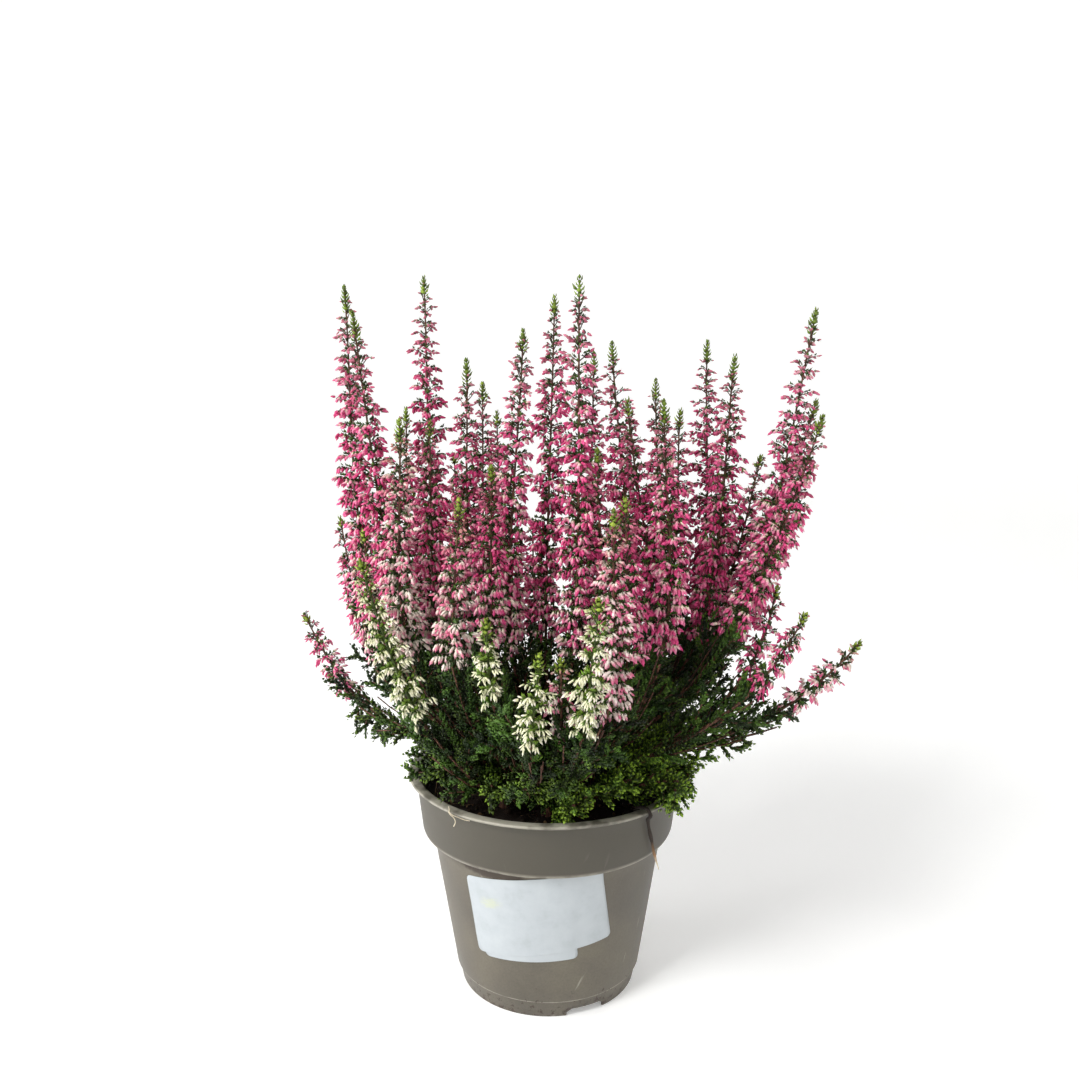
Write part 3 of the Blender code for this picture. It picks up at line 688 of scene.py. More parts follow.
ring = np.linspace(0.8, SOIL_EDGE, 34)
top = turned_about_z(np.stack([ring, 0 * ring], axis=1), 128)
top[..., 2] = soil_height(top[..., 0], top[..., 1])
side = turned_about_z(np.array(SOIL_SIDE), 128)
net = np.concatenate([top, side])[None]
soil_points, soil_faces = tubes(net[:, :, ::-1], np.array([[[0, 0, SOIL_TOP + 1.1], [0, 0, 7.8]]]))
soil_shells = [shell(soil_points, soil_faces, chance=0.4)]
print("soil:", len(soil_faces), "triangles")

# %% Crumbs and fibres
rng = np.random.default_rng(5)
CRUMB_COUNT = 420
FIBRE_COUNT = 90


def scatter(count, reach, lift):
    """Places spread evenly over the soil, within reach of its middle, and lifted above it."""
    far = reach * np.sqrt(rng.random(count))
    angle = rng.uniform(0, 2 * np.pi, count)
    x, y = far * np.cos(angle), far * np.sin(angle)
    return np.stack([x, y, soil_height(x, y) + lift], axis=1)


tilt = np.linspace(0.25, 0.75, 3) * np.pi
spin = np.linspace(0, 2 * np.pi, 6, endpoint=False)
wide, high = np.sin(tilt)[:, None], -np.cos(tilt)[:, None] + 0 * spin
crumb_net = np.stack([wide * np.cos(spin), wide * np.sin(spin), high], axis=-1)
crumb_points, crumb_faces = tubes(crumb_net[None], np.array([[[0, 0, -1.0], [0, 0, 1.0]]]))
crumb_points = crumb_points * (1 + 0.35 * ripples(crumb_points, 1.6, 43))[:, None]
spots = scatter(CRUMB_COUNT, 57.0, 0.15)
axes = unit(rng.normal(size=(CRUMB_COUNT, 3)))
size = rng.lognormal(-0.35, 0.4, CRUMB_COUNT)
frames = np.stack([axes, unit(np.cross(axes, [0.3, 0.5, 0.8])), np.zeros_like(axes)], axis=1)
frames[:, 2] = np.cross(frames[:, 0], frames[:, 1])
points, faces = copies(crumb_points, crumb_faces, spots, frames * size[:, None, None])
chance = np.repeat(rng.random(CRUMB_COUNT), len(crumb_points))
soil_shells.append(shell(points, faces, chance=chance))


def ring_frames(forward):
    """Two directions across each forward direction, so that side x other = forward."""
    hint = np.where(np.abs(forward[..., :1]) < 0.85, [1.0, 0.0, 0.0], [0.0, 1.0, 0.0])
    side = unit(hint - (hint * forward).sum(axis=-1, keepdims=True) * forward)
    return side, np.cross(forward, side)


def sweep_tubes(paths, radius, columns, squash=1.0):
    """Tubes along paths (tubes, rows, 3), of a radius at each row: centre + r (cos a s + sin a o)."""
    forward = unit(np.gradient(paths, axis=1))
    side, other = ring_frames(forward)
    angle = np.linspace(0, 2 * np.pi, columns, endpoint=False)
    out = side[:, :, None] * np.cos(angle)[:, None] + squash * other[:, :, None] * np.sin(angle)[:, None]
    rings = paths[:, :, None] + np.asarray(radius)[..., None, None] * out
    return tubes(rings, paths[:, [0, -1]])


start = scatter(FIBRE_COUNT, 54.0, 0.5)
heading = unit(rng.normal(size=(FIBRE_COUNT, 3)) * [1, 1, 0.08])
share = np.linspace(0, 1, 5)[None, :, None]
reach = rng.uniform(3, 9, FIBRE_COUNT)[:, None, None]
curl = rng.normal(0, 1.0, (FIBRE_COUNT, 1, 3)) * [1, 1, 0.15]
paths = start[:, None] + share * reach * heading[:, None] + share**2 * curl
paths[..., :2] *= np.minimum(1, 56 / np.linalg.norm(paths[..., :2], axis=-1, keepdims=True))
points, faces = sweep_tubes(paths, np.full((FIBRE_COUNT, 5), 0.18), 3)
chance = np.repeat(rng.uniform(0.8, 1.0, FIBRE_COUNT), 5 * 3 + 2)
soil_shells.append(shell(points, faces, chance=chance))
print("crumbs and fibres:", CRUMB_COUNT, "and", FIBRE_COUNT)

# %% Soil finish
# Sphagnum peat, milled: matt, near black when moist, with paler dry crumbs and straw-coloured fibres.
material, tree, shader, position = new_finish("moist_peat", 0.95)
chance = add(tree, "Attribute", attribute_name="chance")
PEAT_STOPS = [(0.0, "120D09"), (0.45, "211711"), (0.78, "3A2A1E"), (0.86, "6B543A")]
peat_tone = add(tree, "ValToRGB", {"Fac": chance}, PEAT_STOPS)
peat_noise = add(
    tree, "TexNoise", {"Vector": position, "Scale": lumps(1.6), "Detail": 6.0, "Roughness": 0.7}
)
peat_colour = peat_noise.node.outputs["Color"]
peat = add(tree, "Mix", {0: 0.35, 6: peat_tone, 7: peat_colour}, data_type="RGBA", blend_type="OVERLAY")
peat_bump = add(tree, "Bump", {"Height": peat_noise, "Strength": 0.8, "Distance": 0.6 * MM})
fill(tree, shader, {"Base Color": peat, "Specular IOR Level": 0.25, "Normal": peat_bump})
make_piece("peat", soil_shells, [material], ["soil"])
print("soil finish:", len(tree.nodes), "nodes")

# %% [markdown]
# ## How the plant grows
# Nine woody trunks stand in the soil. Each flower spike has a leafy stem that leaves the nearest trunk.
# The table gives each spike's tip, the foot of its flowers and its colour, in millimetres. The paths
# between are smooth curves, and they are pushed apart until no two shoots run into each other. These
# are the CAD's own numbers and steps, so every shoot here runs inside its own solid.

# %% Plan of the shoots
TRUNK_RING = 27.0
TRUNKS_IN_RING = 8
STEM_START = 94.0
STEM_CORE = 1.5
SPRIG_REACH = 5.4
BUD_REACH = 7.2
ROOT_DRAW = 0.34
STEM_LIFT = 0.35
TUFT_LIFT = 0.8
TUFT_DROOP = 0.2
FOOT_TURN = 0.55
TIP_LIFT = 0.25
POINT_SPACING = 8.0
BEND_ROUNDS = 160
BEND_RATE = 0.35
BEND_LIMIT = 2.0
CLEARANCE = 1.6
SAME_TRUNK_SHARE = 0.7

SPIKES = (
    ((-94, 30, 323), (-81, 22, 172), "rose"),
    ((-82, -20, 310), (-60, -20, 168), "rose"),
    ((-60, 55, 329), (-50, 40, 162), "rose"),
    ((-53, 2, 263), (-49, -8, 165), "rose"),
    ((-68, 40, 267), (-62, 30, 163), "rose"),
    ((-61, -38, 266), (-58, -40, 166), "pale"),
    ((-38, 28, 290), (-33, 20, 162), "rose"),
    ((-33, 72, 278), (-31, 54, 164), "rose"),
    ((-27, 100, 262), (-22, 76, 165), "rose"),
    ((-24, -34, 247), (-24, -34, 169), "rose"),
    ((-35, -66, 238), (-38, -62, 169), "pale"),
    ((-11, -6, 303), (-16, -10, 159), "rose"),
    ((3, 30, 319), (-1, 20, 158), "rose"),
    ((12, -36, 323), (10, -34, 164), "rose"),
    ((23, 60, 293), (20, 46, 156), "rose"),
    ((30, 35, 298), (38, 28, 163), "rose"),
    ((34, -8, 273), (46, -14, 158), "rose"),
    ((22, 5, 250), (22, 2, 158), "rose"),
    ((56, 82, 279), (54, 62, 160), "rose"),
    ((47, -34, 274), (48, -38, 168), "rose"),
    ((64, 45, 266), (58, 40, 163), "rose"),
    ((80, 68, 299), (72, 52, 154), "rose"),
    ((83, 8, 292), (68, 4, 161), "rose"),
    ((119, 10, 312), (82, -1, 162), "rose"),
    ((123, 18, 272), (86, 18, 162), "rose"),
    ((118, -14, 267), (80, -20, 171), "rose"),
    ((103, 40, 244), (80, 34, 163), "rose"),
    ((125, 48, 215), (97, 45, 168), "blush"),
    ((24, -78, 235), (22, -72, 150), "blush"),
    ((30, -54, 236), (32, -54, 168), "rose"),
    ((-105, 58, 211), (-86, 42, 146), "rose"),
    ((-83, -2, 215), (-76, -4, 155), "rose"),
    ((-75, -60, 212), (-52, -60, 146), "white"),
    ((-24, -86, 195), (-22, -78, 160), "white"),
    ((-4, -100, 186), (-7, -88, 146), "white"),
    ((4, -84, 179), (5, -78, 146), "blush"),
    ((17, -108, 208), (12, -92, 152), "white"),
    ((-124, 54, 162), (-95, 32, 126), "rose"),
    ((100, -16, 192), (84, -26, 152), "rose"),
    ((106, -46, 187), (84, -48, 154), "rose"),
    ((126, -56, 178), (99, -38, 143), "blush"),
    ((-70, 75, 225), (-58, 62, 150), "rose"),
    ((-50, 96, 240), (-42, 76, 152), "rose"),
    ((-8, 106, 202), (-6, 82, 142), "rose"),
    ((44, 102, 235), (36, 80, 150), "rose"),
    ((92, 84, 225), (80, 66, 148), "rose"),
)

# Some spikes at the sides are thinner than the rest: their share of the full reach, by number.
SLENDER = {28: 0.75, 31: 0.65, 38: 0.75, 39: 0.65, 40: 0.7, 41: 0.8}

TUFTS = (
    (-50, -36, 116),
    (-38, -44, 128),
    (-24, -50, 114),
    (-8, -54, 126),
    (8, -56, 112),
    (20, -50, 130),
    (34, -50, 116),
    (55, -44, 113),
    (62, -28, 113),
    (48, -24, 124),
    (62, 6, 120),
    (46, 36, 118),
    (14, 54, 118),
    (-20, 52, 120),
    (-48, 34, 118),
    (-66, -6, 124),
)


def cubic(t, start, leave, end, arrive):
    """A Hermite curve: (2t^3-3t^2+1) start + (t^3-2t^2+t) leave + (3t^2-2t^3) end + (t^3-t^2) arrive."""
    first = (2 * t**3 - 3 * t**2 + 1) * start + (t**3 - 2 * t**2 + t) * leave
    return first + (3 * t**2 - 2 * t**3) * end + (t**3 - t**2) * arrive


def curve_between(start, leave, end, arrive, count):
    """A smooth run of points that leaves start one way and arrives at end another way."""
    length = np.linalg.norm(end - start)
    return cubic(np.linspace(0, 1, count)[:, None], start, leave * length, end, arrive * length)


def plan_shoot(trunk, foot, tip):
    """Points along one shoot from its trunk's head, and which of them is the foot of its flowers."""
    start = np.array([*trunk, STEM_START])
    up = np.array([0.0, 0.0, 1.0])
    rise = unit(foot - start)
    if tip is None:
        count = max(5, round(np.linalg.norm(foot - start) / POINT_SPACING))
        leave = unit(rise + TUFT_LIFT * up)
        return curve_between(start, leave, foot, unit(rise - TUFT_DROOP * up), count), None
    spike = unit(tip - foot)
    turn = unit((1 - FOOT_TURN) * rise + FOOT_TURN * spike)
    low = max(6, round(np.linalg.norm(foot - start) / POINT_SPACING))
    high = max(5, round(np.linalg.norm(tip - foot) / POINT_SPACING))
    stem = curve_between(start, unit(rise + STEM_LIFT * up), foot, turn, low)
    bloom = curve_between(foot, turn, tip, unit(spike + TIP_LIFT * up), high)
    return np.vstack([stem, bloom[1:]]), low - 1


def nearest_trunk(place, trunks):
    """The trunk that a shoot leaves: the one nearest to its foot, drawn in toward the pot's axis."""
    target = ROOT_DRAW * np.array(place[:2], float)
    return int(np.argmin(np.linalg.norm(np.array(trunks) - target, axis=1)))


def bend_clear(shoots):
    """Pushes the points of different shoots apart until none is closer than their radii allow.

    Each round adds up the pushes on every point, evens them out along its shoot and moves it.
    """
    start = np.cumsum([0] + [len(s["points"]) for s in shoots])
    points = np.vstack([s["points"] for s in shoots])
    radius = np.concatenate([s["radius"] for s in shoots])
    ease = np.concatenate([np.clip(np.arange(len(s["points"])) / 3, 0, 1) for s in shoots])
    owner = np.repeat(np.arange(len(shoots)), np.diff(start))
    trunk = np.array([s["trunk"] for s in shoots])[owner]
    stem = np.concatenate([s["is_stem"] for s in shoots])
    need = radius[:, None] + radius[None, :] + CLEARANCE
    together = (trunk[:, None] == trunk[None, :]) & stem[:, None] & stem[None, :]
    need = np.where(together, SAME_TRUNK_SHARE * need, need)
    need[owner[:, None] == owner[None, :]] = 0
    for _ in range(BEND_ROUNDS):
        apart = points[:, None, :] - points[None, :, :]
        distance = np.linalg.norm(apart, axis=2) + 1e-6
        short = np.clip(need - distance, 0, None)
        push = (apart * (short / distance)[:, :, None]).sum(axis=1) * BEND_RATE
        size = np.linalg.norm(push, axis=1, keepdims=True)
        push *= np.minimum(1, BEND_LIMIT / np.maximum(size, 1e-6)) * ease[:, None]
        for low, high in zip(start, start[1:]):
            part = push[low:high]
            for _ in range(2):
                padded = np.vstack([part[:1], part, part[-1:]])
                part = (padded[:-2] + 2 * padded[1:-1] + padded[2:]) / 4
            part[0] = 0
            points[low:high] += part
    for shoot, low, high in zip(shoots, start, start[1:]):
        shoot["points"] = points[low:high]


def plan_plant(trunks):
    """All shoots, bent clear of each other. Each has its trunk, points, radii and flower foot."""
    shoots = []
    tufts = [(None, end, "leaf") for end in TUFTS]
    for number, (tip, foot, colour) in enumerate([*SPIKES, *tufts], 1):
        trunk = nearest_trunk(foot, trunks)
        tip = None if tip is None else np.array(tip, float)
        points, joint = plan_shoot(trunks[trunk], np.array(foot, float), tip)
        shoots.append({"trunk": trunk, "points": points, "joint": joint, "colour": colour})
        shoots[-1]["girth"] = SLENDER.get(number, 1.0)
    for shoot in shoots:
        count = len(shoot["points"])
        joint = count if shoot["joint"] is None else shoot["joint"]
        index = np.arange(count)
        shoot["is_stem"] = index <= joint
        leafy = np.where(index < 2, STEM_CORE, SPRIG_REACH)
        bloom = shoot["girth"] * np.where(index > count - 3, 0.5 * BUD_REACH, BUD_REACH)
        shoot["radius"] = np.where(shoot["is_stem"], leafy, bloom)
    bend_clear(shoots)
    return shoots


ring_angle = np.radians(360 * np.arange(TRUNKS_IN_RING) / TRUNKS_IN_RING - 90)
trunks = [(0.0, 0.0)]
trunks += [(TRUNK_RING * math.cos(a), TRUNK_RING * math.sin(a)) for a in ring_angle]
shoots = plan_plant(trunks)
print(len(SPIKES), "flower spikes and", len(TUFTS), "leafy tufts on", len(trunks), "trunks")

# %% [markdown]
# A shoot's points are 8 mm apart. To carry buds and leaves it needs a place and a direction at any
# distance along it. A cubic through the points gives both without kinks: between two points it is the
# same Hermite curve as above, and the slope at each point is that of the line between its neighbours.


# %% Along a shoot
def reach_of(points):
    """Distance along a run of points to each of them."""
    steps = np.linalg.norm(np.diff(points, axis=0), axis=1)
    return np.concatenate([[0], np.cumsum(steps)])


def along(points, places):
    """Smooth positions and unit directions at distances along a run of points."""
    reach = reach_of(points)
    slope = np.gradient(points, reach, axis=0)
    places = np.clip(places, 0, reach[-1])
    low = np.clip(np.searchsorted(reach, places, side="right") - 1, 0, len(points) - 2)
    span = (reach[low + 1] - reach[low])[:, None]
    t = (places - reach[low])[:, None] / span
    p, q = points[low], points[low + 1]
    m, n = slope[low] * span, slope[low + 1] * span
    way = (6 * t**2 - 6 * t) * p + (3 * t**2 - 4 * t + 1) * m
    way = way + (6 * t - 6 * t**2) * q + (3 * t**2 - 2 * t) * n
    return cubic(t, p, m, q, n), unit(way)


def axes_from(forward, up, width, depth, length):
    """Axes for copies of a leaf: its width, its thickness toward up, and its length forward."""
    level = unit(up - (up * forward).sum(axis=1, keepdims=True) * forward)
    side = np.cross(level, forward)
    return np.stack([side * width[:, None], level * depth[:, None], forward * length[:, None]], axis=1)


longest = max(reach_of(s["points"])[-1] for s in shoots)
print("longest shoot:", round(longest), "mm")

# %% [markdown]
# ## Small shapes
# A heather bud is a plump oval about 4 mm long, wrapped in overlapping sepals and held in a little cup of
# green bracts. It is drawn with four sides, one for each sepal, and two rings. A leaf is a keeled
# scale of four faces. A sprig is a thin twig with pairs of scales that lie close along it, each pair
# turned a quarter from the last.

# %% Bud, cup and leaf
BUD_RINGS = ((0.26, 0.47), (0.68, 0.43))


def ring_points(profile, columns, twist=0.0):
    """Rings of a unit shape along Z from (height, radius) pairs, each ring turned by twist."""
    profile = np.array(profile)
    angle = np.linspace(0, 2 * np.pi, columns, endpoint=False)
    turn = angle[None, :] + twist * np.arange(len(profile))[:, None]
    x = profile[:, 1:] * np.cos(turn)
    y = profile[:, 1:] * np.sin(turn)
    z = profile[:, :1] + 0 * turn
    return np.stack([x, y, z], axis=-1)


bud = tubes(ring_points(BUD_RINGS, 4, np.pi / 4)[None], np.array([[[0, 0, 0.0], [0, 0, 1.0]]]))
# Cup: three pointed bracts round the bud's foot, as a pyramid whose three corners stand out of it.
cup_points = np.vstack([ring_points(((0.28, 0.68),), 3)[0], [[0, 0, -0.12]]])
cup = cup_points, np.array([[0, 1, 2], [0, 3, 1], [1, 3, 2], [2, 3, 0]])

# Leaf: width along X, its keel toward Y, its length along Z.
leaf_points = np.array([[-0.5, 0.05, 0.26], [0.5, 0.05, 0.26], [0, 0.6, 0.0], [0, 0.15, 1.0]])
leaf = leaf_points, np.array([[0, 3, 1], [0, 2, 3], [1, 3, 2], [0, 1, 2]])
scale_points = np.array(
    [[0, 0, 0.0], [-0.5, 0.05, 0.45], [0.5, 0.05, 0.45], [0, 0.1, 1.0], [0, 0.55, 0.42]]
)
scale = scale_points, np.array([[0, 1, 3], [0, 3, 2], [0, 2, 4], [4, 2, 3], [4, 3, 1], [0, 4, 1]])
print("triangles: bud", len(bud[1]), "cup", len(cup[1]), "leaf", len(leaf[1]))


# %% Sprig
def make_sprig(pairs, width):
    """A twig about one unit long that curves toward +Y, with crossed pairs of leaves along it.

    Its line is z = t, y = 0.12 t^2. A leaf is longer than the space between pairs, so they overlap.
    """
    t = np.array([0.0, 0.92])
    line = np.stack([0 * t, 0.12 * t**2, t], axis=1)[None]
    core = sweep_tubes(line, np.array([[0.3, 0.2]]) * width, 3)
    place = np.repeat(np.linspace(0.04, 0.92, pairs), 2)
    turn = np.pi / 2 * np.repeat(np.arange(pairs), 2) + np.pi * (np.arange(2 * pairs) % 2)
    turn = turn + 0.4
    out = np.stack([np.cos(turn), np.sin(turn), 0 * turn], axis=1)
    shrink = np.interp(place, [0, 0.2, 0.75, 1], [0.75, 1.0, 1.05, 0.8])
    forward = unit(0.36 * out + [0, 0, 0.9])
    spots = np.stack([0 * place, 0.12 * place**2, place], axis=1) + 0.15 * width * out
    size = width * shrink
    axes = axes_from(forward, out, 0.66 * size, 0.46 * size, 0.76 * size)
    return {
        "shape": stack_shapes([core, copies(*leaf, spots, axes)]),
        "along": np.concatenate([np.zeros(len(core[0])), np.tile(leaf[0][:, 2], 2 * pairs)]),
        "height": np.concatenate([core[0][:, 2], np.repeat(place, 4)]),
    }


SPRIG_KINDS = {5.5: make_sprig(4, 0.44), 8.5: make_sprig(6, 0.30), 12.0: make_sprig(8, 0.22)}
print("triangles in a sprig:", [len(kind["shape"][1]) for kind in SPRIG_KINDS.values()])

# %% [markdown]
# ## Bud, leaf and bark finishes
# Heather sepals are thin and papery with a satin surface. They are pale where the bracts shade them and
# deepest at the tip, and no two buds are quite alike: the marks make each copy differ. One function makes
# the four colours of flower, with the same nodes and other stops.


# %% Petal finish
def petal_finish(name, foot, tip, withered, pale_share):
    """Sepals: foot and tip are colours over chance, withered is that of the youngest, unopened buds."""
    material, tree, shader, position = new_finish(name, 0.42, 1.42)
    marks = {m: add(tree, "Attribute", attribute_name=m) for m in MARKS}
    speck = add(tree, "TexNoise", {"Vector": position, "Scale": lumps(1.3), "Detail": 2.0})
    shift = add(tree, "Math", {0: speck, 1: 0.3, 2: marks["chance"]}, operation="MULTIPLY_ADD")
    shade = add(tree, "Math", {0: marks["mood"], 1: 0.75, 2: shift}, operation="MULTIPLY_ADD")
    spread_out = add(tree, "MapRange", {"Value": shade, "From Min": 0.1, "From Max": 1.6})
    tip_tone = add(tree, "ValToRGB", {"Fac": spread_out}, stops=list(zip((0.1, 0.5, 0.9), tip)))
    foot_tone = add(tree, "ValToRGB", {"Fac": spread_out}, stops=list(zip((0.1, 0.8), foot)))
    pale_end = add(
        tree, "MapRange", {"Value": spread_out, "To Min": pale_share - 0.35, "To Max": pale_share + 0.5}
    )
    past = add(tree, "Math", {0: marks["along"], 1: pale_end}, operation="SUBTRACT")
    limits = {"From Min": -0.25, "From Max": 0.3}
    deep = add(tree, "MapRange", {"Value": past} | limits, interpolation_type="SMOOTHSTEP")
    blend = add(tree, "Mix", {0: deep, 6: foot_tone, 7: tip_tone}, data_type="RGBA")
    young = add(
        tree, "MapRange", {"Value": marks["height"], "From Min": 0.72, "From Max": 1.0, "To Max": 0.85}
    )
    aged = add(tree, "Mix", {0: young, 6: blend, 7: srgb(withered)}, data_type="RGBA")
    bump = add(tree, "Bump", {"Height": speck, "Strength": 0.3, "Distance": 0.15 * MM})
    fill(tree, shader, {"Base Color": aged, "Normal": bump})
    return material


# Papery sepals: the colours of a bud's foot and of its tip, the colour of young buds, and the pale share.
PETAL_COLOURS = {
    "rose": ("sepals_rose", ("E79CB4", "F4E6D0"), ("B02A5E", "DF4C87", "F3A6C1"), "B0737A", 0.15),
    "blush": ("sepals_blush", ("EFDAC8", "F3E6DC"), ("BE376C", "DC7093", "EDB8C3"), "AE8A72", 0.3),
    "pale": ("sepals_pale", ("EAD6C6", "F1E7D8"), ("B63C6C", "D66A8A", "E8AFBA"), "A58468", 0.27),
    "white": ("sepals_cream", ("CDD296", "E6E4C0"), ("F0D4C8", "F4EEDC", "F8F5E8"), "A9B468", 0.45),
}
PETALS = {kind: petal_finish(*colours) for kind, colours in PETAL_COLOURS.items()}
print("petal finishes:", ", ".join(PETALS))


# %% [markdown]
# Heather leaves are tiny overlapping scales, dark green and a little waxy, with brighter young ends. The
# stems are wiry, with reddish brown bark. Both are seen mostly in each other's shade.


# %% Leaf and bark finishes
def leaf_finish(name, dark, middle, light, young_tip):
    """Scale leaves: a dark foot, a lighter tip, and bright green where the mood says young growth."""
    material, tree, shader, position = new_finish(name, 0.5, 1.45)
    marks = {m: add(tree, "Attribute", attribute_name=m) for m in MARKS}
    tone = add(tree, "ValToRGB", {"Fac": marks["chance"]}, stops=[(0.0, dark), (0.7, middle), (1.0, light)])
    patch = add(tree, "TexNoise", {"Vector": position, "Scale": lumps(14.0), "Detail": 3.0}, out="Color")
    mottled = add(tree, "Mix", {0: 0.2, 6: tone, 7: patch}, data_type="RGBA", blend_type="OVERLAY")
    terms = {0: marks["along"], 1: marks["height"], 2: 0.05}
    reach = add(tree, "Math", terms, operation="MULTIPLY_ADD", use_clamp=True)
    youth = add(tree, "Math", {0: reach, 1: marks["mood"]}, operation="MULTIPLY")
    greened = add(tree, "Mix", {0: youth, 6: mottled, 7: srgb(young_tip)}, data_type="RGBA")
    fill(tree, shader, {"Base Color": greened, "Specular IOR Level": 0.4})
    return material


LEAF = leaf_finish("scale_leaves_green", "0C1505", "26400F", "52762A", "A6CC3A")
TIP_LEAF = leaf_finish("shoot_tip_leaves", "384615", "5E7524", "8AA03A", "B8D040")

material, tree, shader, position = new_finish("heather_bark", 0.7)
bark_stretch = add(tree, "Mapping", {"Vector": position, "Scale": (1.0, 1.0, 0.18)})
bark_noise = add(
    tree, "TexNoise", {"Vector": bark_stretch, "Scale": lumps(0.8), "Detail": 5.0, "Roughness": 0.65}
)
bark_tone = add(
    tree, "ValToRGB", {"Fac": bark_noise}, stops=[(0.3, "26140D"), (0.5, "4C2C1D"), (0.72, "855A3F")]
)
bark_bump = add(tree, "Bump", {"Height": bark_noise, "Strength": 0.6, "Distance": 0.2 * MM})
fill(tree, shader, {"Base Color": bark_tone, "Normal": bark_bump})
BARK = material
print("leaf and bark finishes made")

# %% [markdown]
# ## Flower spikes
# Short branchlets leave a spike's stem in opposite pairs, each pair a quarter turn from the last. Near
# the foot they are close and carry seven to ten buds each, which hang down and out. Toward the top they
# stand further apart, with fewer and smaller buds. The tip is a green cone of leaves. Every quantity is
# a function of height along the spike, with a little chance added.

# %% Spike rules
PAIR_PITCH = 2.3
CUP_SHARE = 0.5
BUD_SHELL, LEAF_SHELL, TIP_SHELL, BARK_SHELL = 0, 1, 2, 3


def by_height(height, *steps):
    """A quantity given at steps (height, value), joined by straight lines."""
    return np.interp(height, *zip(*steps))


def stem_tube(points, low, high, thick, thin, pitch=3.0, sides=6):
    """A round stem between two distances along a shoot, tapering from thick to thin."""
    rows = max(3, int((high - low) / pitch))
    line, _ = along(points, np.linspace(low, high, rows))
    return sweep_tubes(line[None], np.linspace(thick, thin, rows)[None], sides)


def around_stem(forward, turn):
    """The outward direction at an angle round each forward direction."""
    side, other = ring_frames(forward)
    return np.cos(turn)[:, None] * side + np.sin(turn)[:, None] * other


def branchlets(points, low, high, rng):
    """Opposite pairs of branchlets: for each its foot, outward and upward directions, and height."""
    count = max(3, round((high - low) / PAIR_PITCH))
    share = np.linspace(0, 1, count)
    places = low + (high - low) * (0.8 * share + 0.2 * share**2)
    node = np.repeat(np.arange(count), 2)
    spot, forward = along(points, places[node] + rng.normal(0, 0.75, 2 * count))
    turn = 90.0 * node + 180.0 * (np.arange(2 * count) % 2) + rng.normal(0, 18, 2 * count)
    return spot, around_stem(forward, np.radians(turn + rng.uniform(0, 90))), forward, share[node]


def arc(foot, out, rise, t):
    """Points at shares t along branchlets: foot + 2t(1-t) (0.5 out + rise) + t^2 (out + 0.7 rise)."""
    return foot + 2 * t * (1 - t) * (0.5 * out + rise) + t**2 * (out + 0.7 * rise)


# %% [markdown]
# The directions are the heart of it. A branchlet rises from the stem and arches over. Its buds sit along
# its outer four fifths, turned to alternate sides, and hang between straight out and down along the
# stem: the direction is cos(hang) level + sin(hang) down. The hang falls from 60 degrees at the foot to
# about nothing at the top.


# %% Buds of a spike
def bud_shells(start, out, forward, height, out_step, rise_step, pale, bract_youth, plump, fullness, rng):
    """Buds with their cups on a spike's branchlets, and how many there are."""
    mean = by_height(height, (0, 7.0), (0.1, 9.6), (0.55, 9.6), (0.8, 7.6), (0.93, 4.2), (1, 1.2))
    buds = np.floor(fullness * mean + rng.random(len(start))).astype(int)
    which = np.repeat(np.arange(len(start)), buds)
    order = np.arange(len(which)) - np.repeat(np.cumsum(buds) - buds, buds)
    last = order == buds[which] - 1
    count = len(which)
    t = (0.2 + 0.8 * (order + rng.uniform(0.4, 1.0, count)) / buds[which])[:, None]
    place = arc(start[which], out_step[which], rise_step[which], t)
    aside = rng.uniform(8, 80, count) * np.where(order % 2, 1, -1)
    aside = np.radians(np.where(last, rng.normal(0, 16, count), aside))[:, None]
    across = np.cross(forward, out)[which]
    level = np.cos(aside) * out[which] + np.sin(aside) * across
    hang = by_height(height, (0, 60), (0.35, 50), (0.7, 36), (0.88, 20), (1, -5))[which]
    hang = np.radians(hang + rng.normal(0, 20, count))[:, None]
    down = unit(-0.6 * forward[which] - [0, 0, 0.5])
    ahead = unit(np.cos(hang) * level + np.sin(hang) * down)
    length = by_height(height, (0, 4.3), (0.3, 4.2), (0.7, 3.5), (0.88, 2.8), (1, 2.0))[which]
    length = length * plump**0.6 * rng.normal(1, 0.12, count)
    width = by_height(height, (0, 0.35), (0.4, 0.39), (0.75, 0.43), (0.9, 0.48), (1, 0.52))[which]
    width = width * plump * length * rng.normal(1, 0.08, count)
    axes = axes_from(ahead, forward[which] + 0.01 * level, width, width, length)
    place = place + 0.25 * ahead
    chance = rng.random(count)
    tone = {"chance": chance, "height": height[which], "mood": pale[which]}
    petals = shell_of(bud, place, axes, BUD_SHELL, **tone)
    held = rng.random(count) < CUP_SHARE
    tone = {"chance": chance[held], "height": 0.5, "mood": bract_youth}
    return [petals, shell_of(cup, place[held], axes[held], LEAF_SHELL, **tone)], count


# %% Leaves of a spike
LEAVES_ON_BRANCHLET = 6


def spike_leaves(start, out, forward, height, out_step, rise_step, youth, rng):
    """Small dark leaves along the branchlets, pointing out and up."""
    which = np.repeat(np.arange(len(start)), LEAVES_ON_BRANCHLET)
    count = len(which)
    t = rng.uniform(0.0, 0.75, count)[:, None]
    place = arc(start[which], out_step[which], rise_step[which], t)
    swing = rng.normal(0, 0.6, (count, 1)) * np.cross(forward, out)[which]
    ahead = unit(0.5 * out[which] + forward[which] + swing)
    size = rng.uniform(1.8, 3.1, count) * by_height(height[which], (0.4, 1.0), (1, 0.6))
    axes = axes_from(ahead, forward[which] + 0.01 * out[which], 0.85 * size, 0.55 * size, size)
    return shell_of(leaf, place, axes, LEAF_SHELL, chance=rng.random(count), height=0.5, mood=youth)


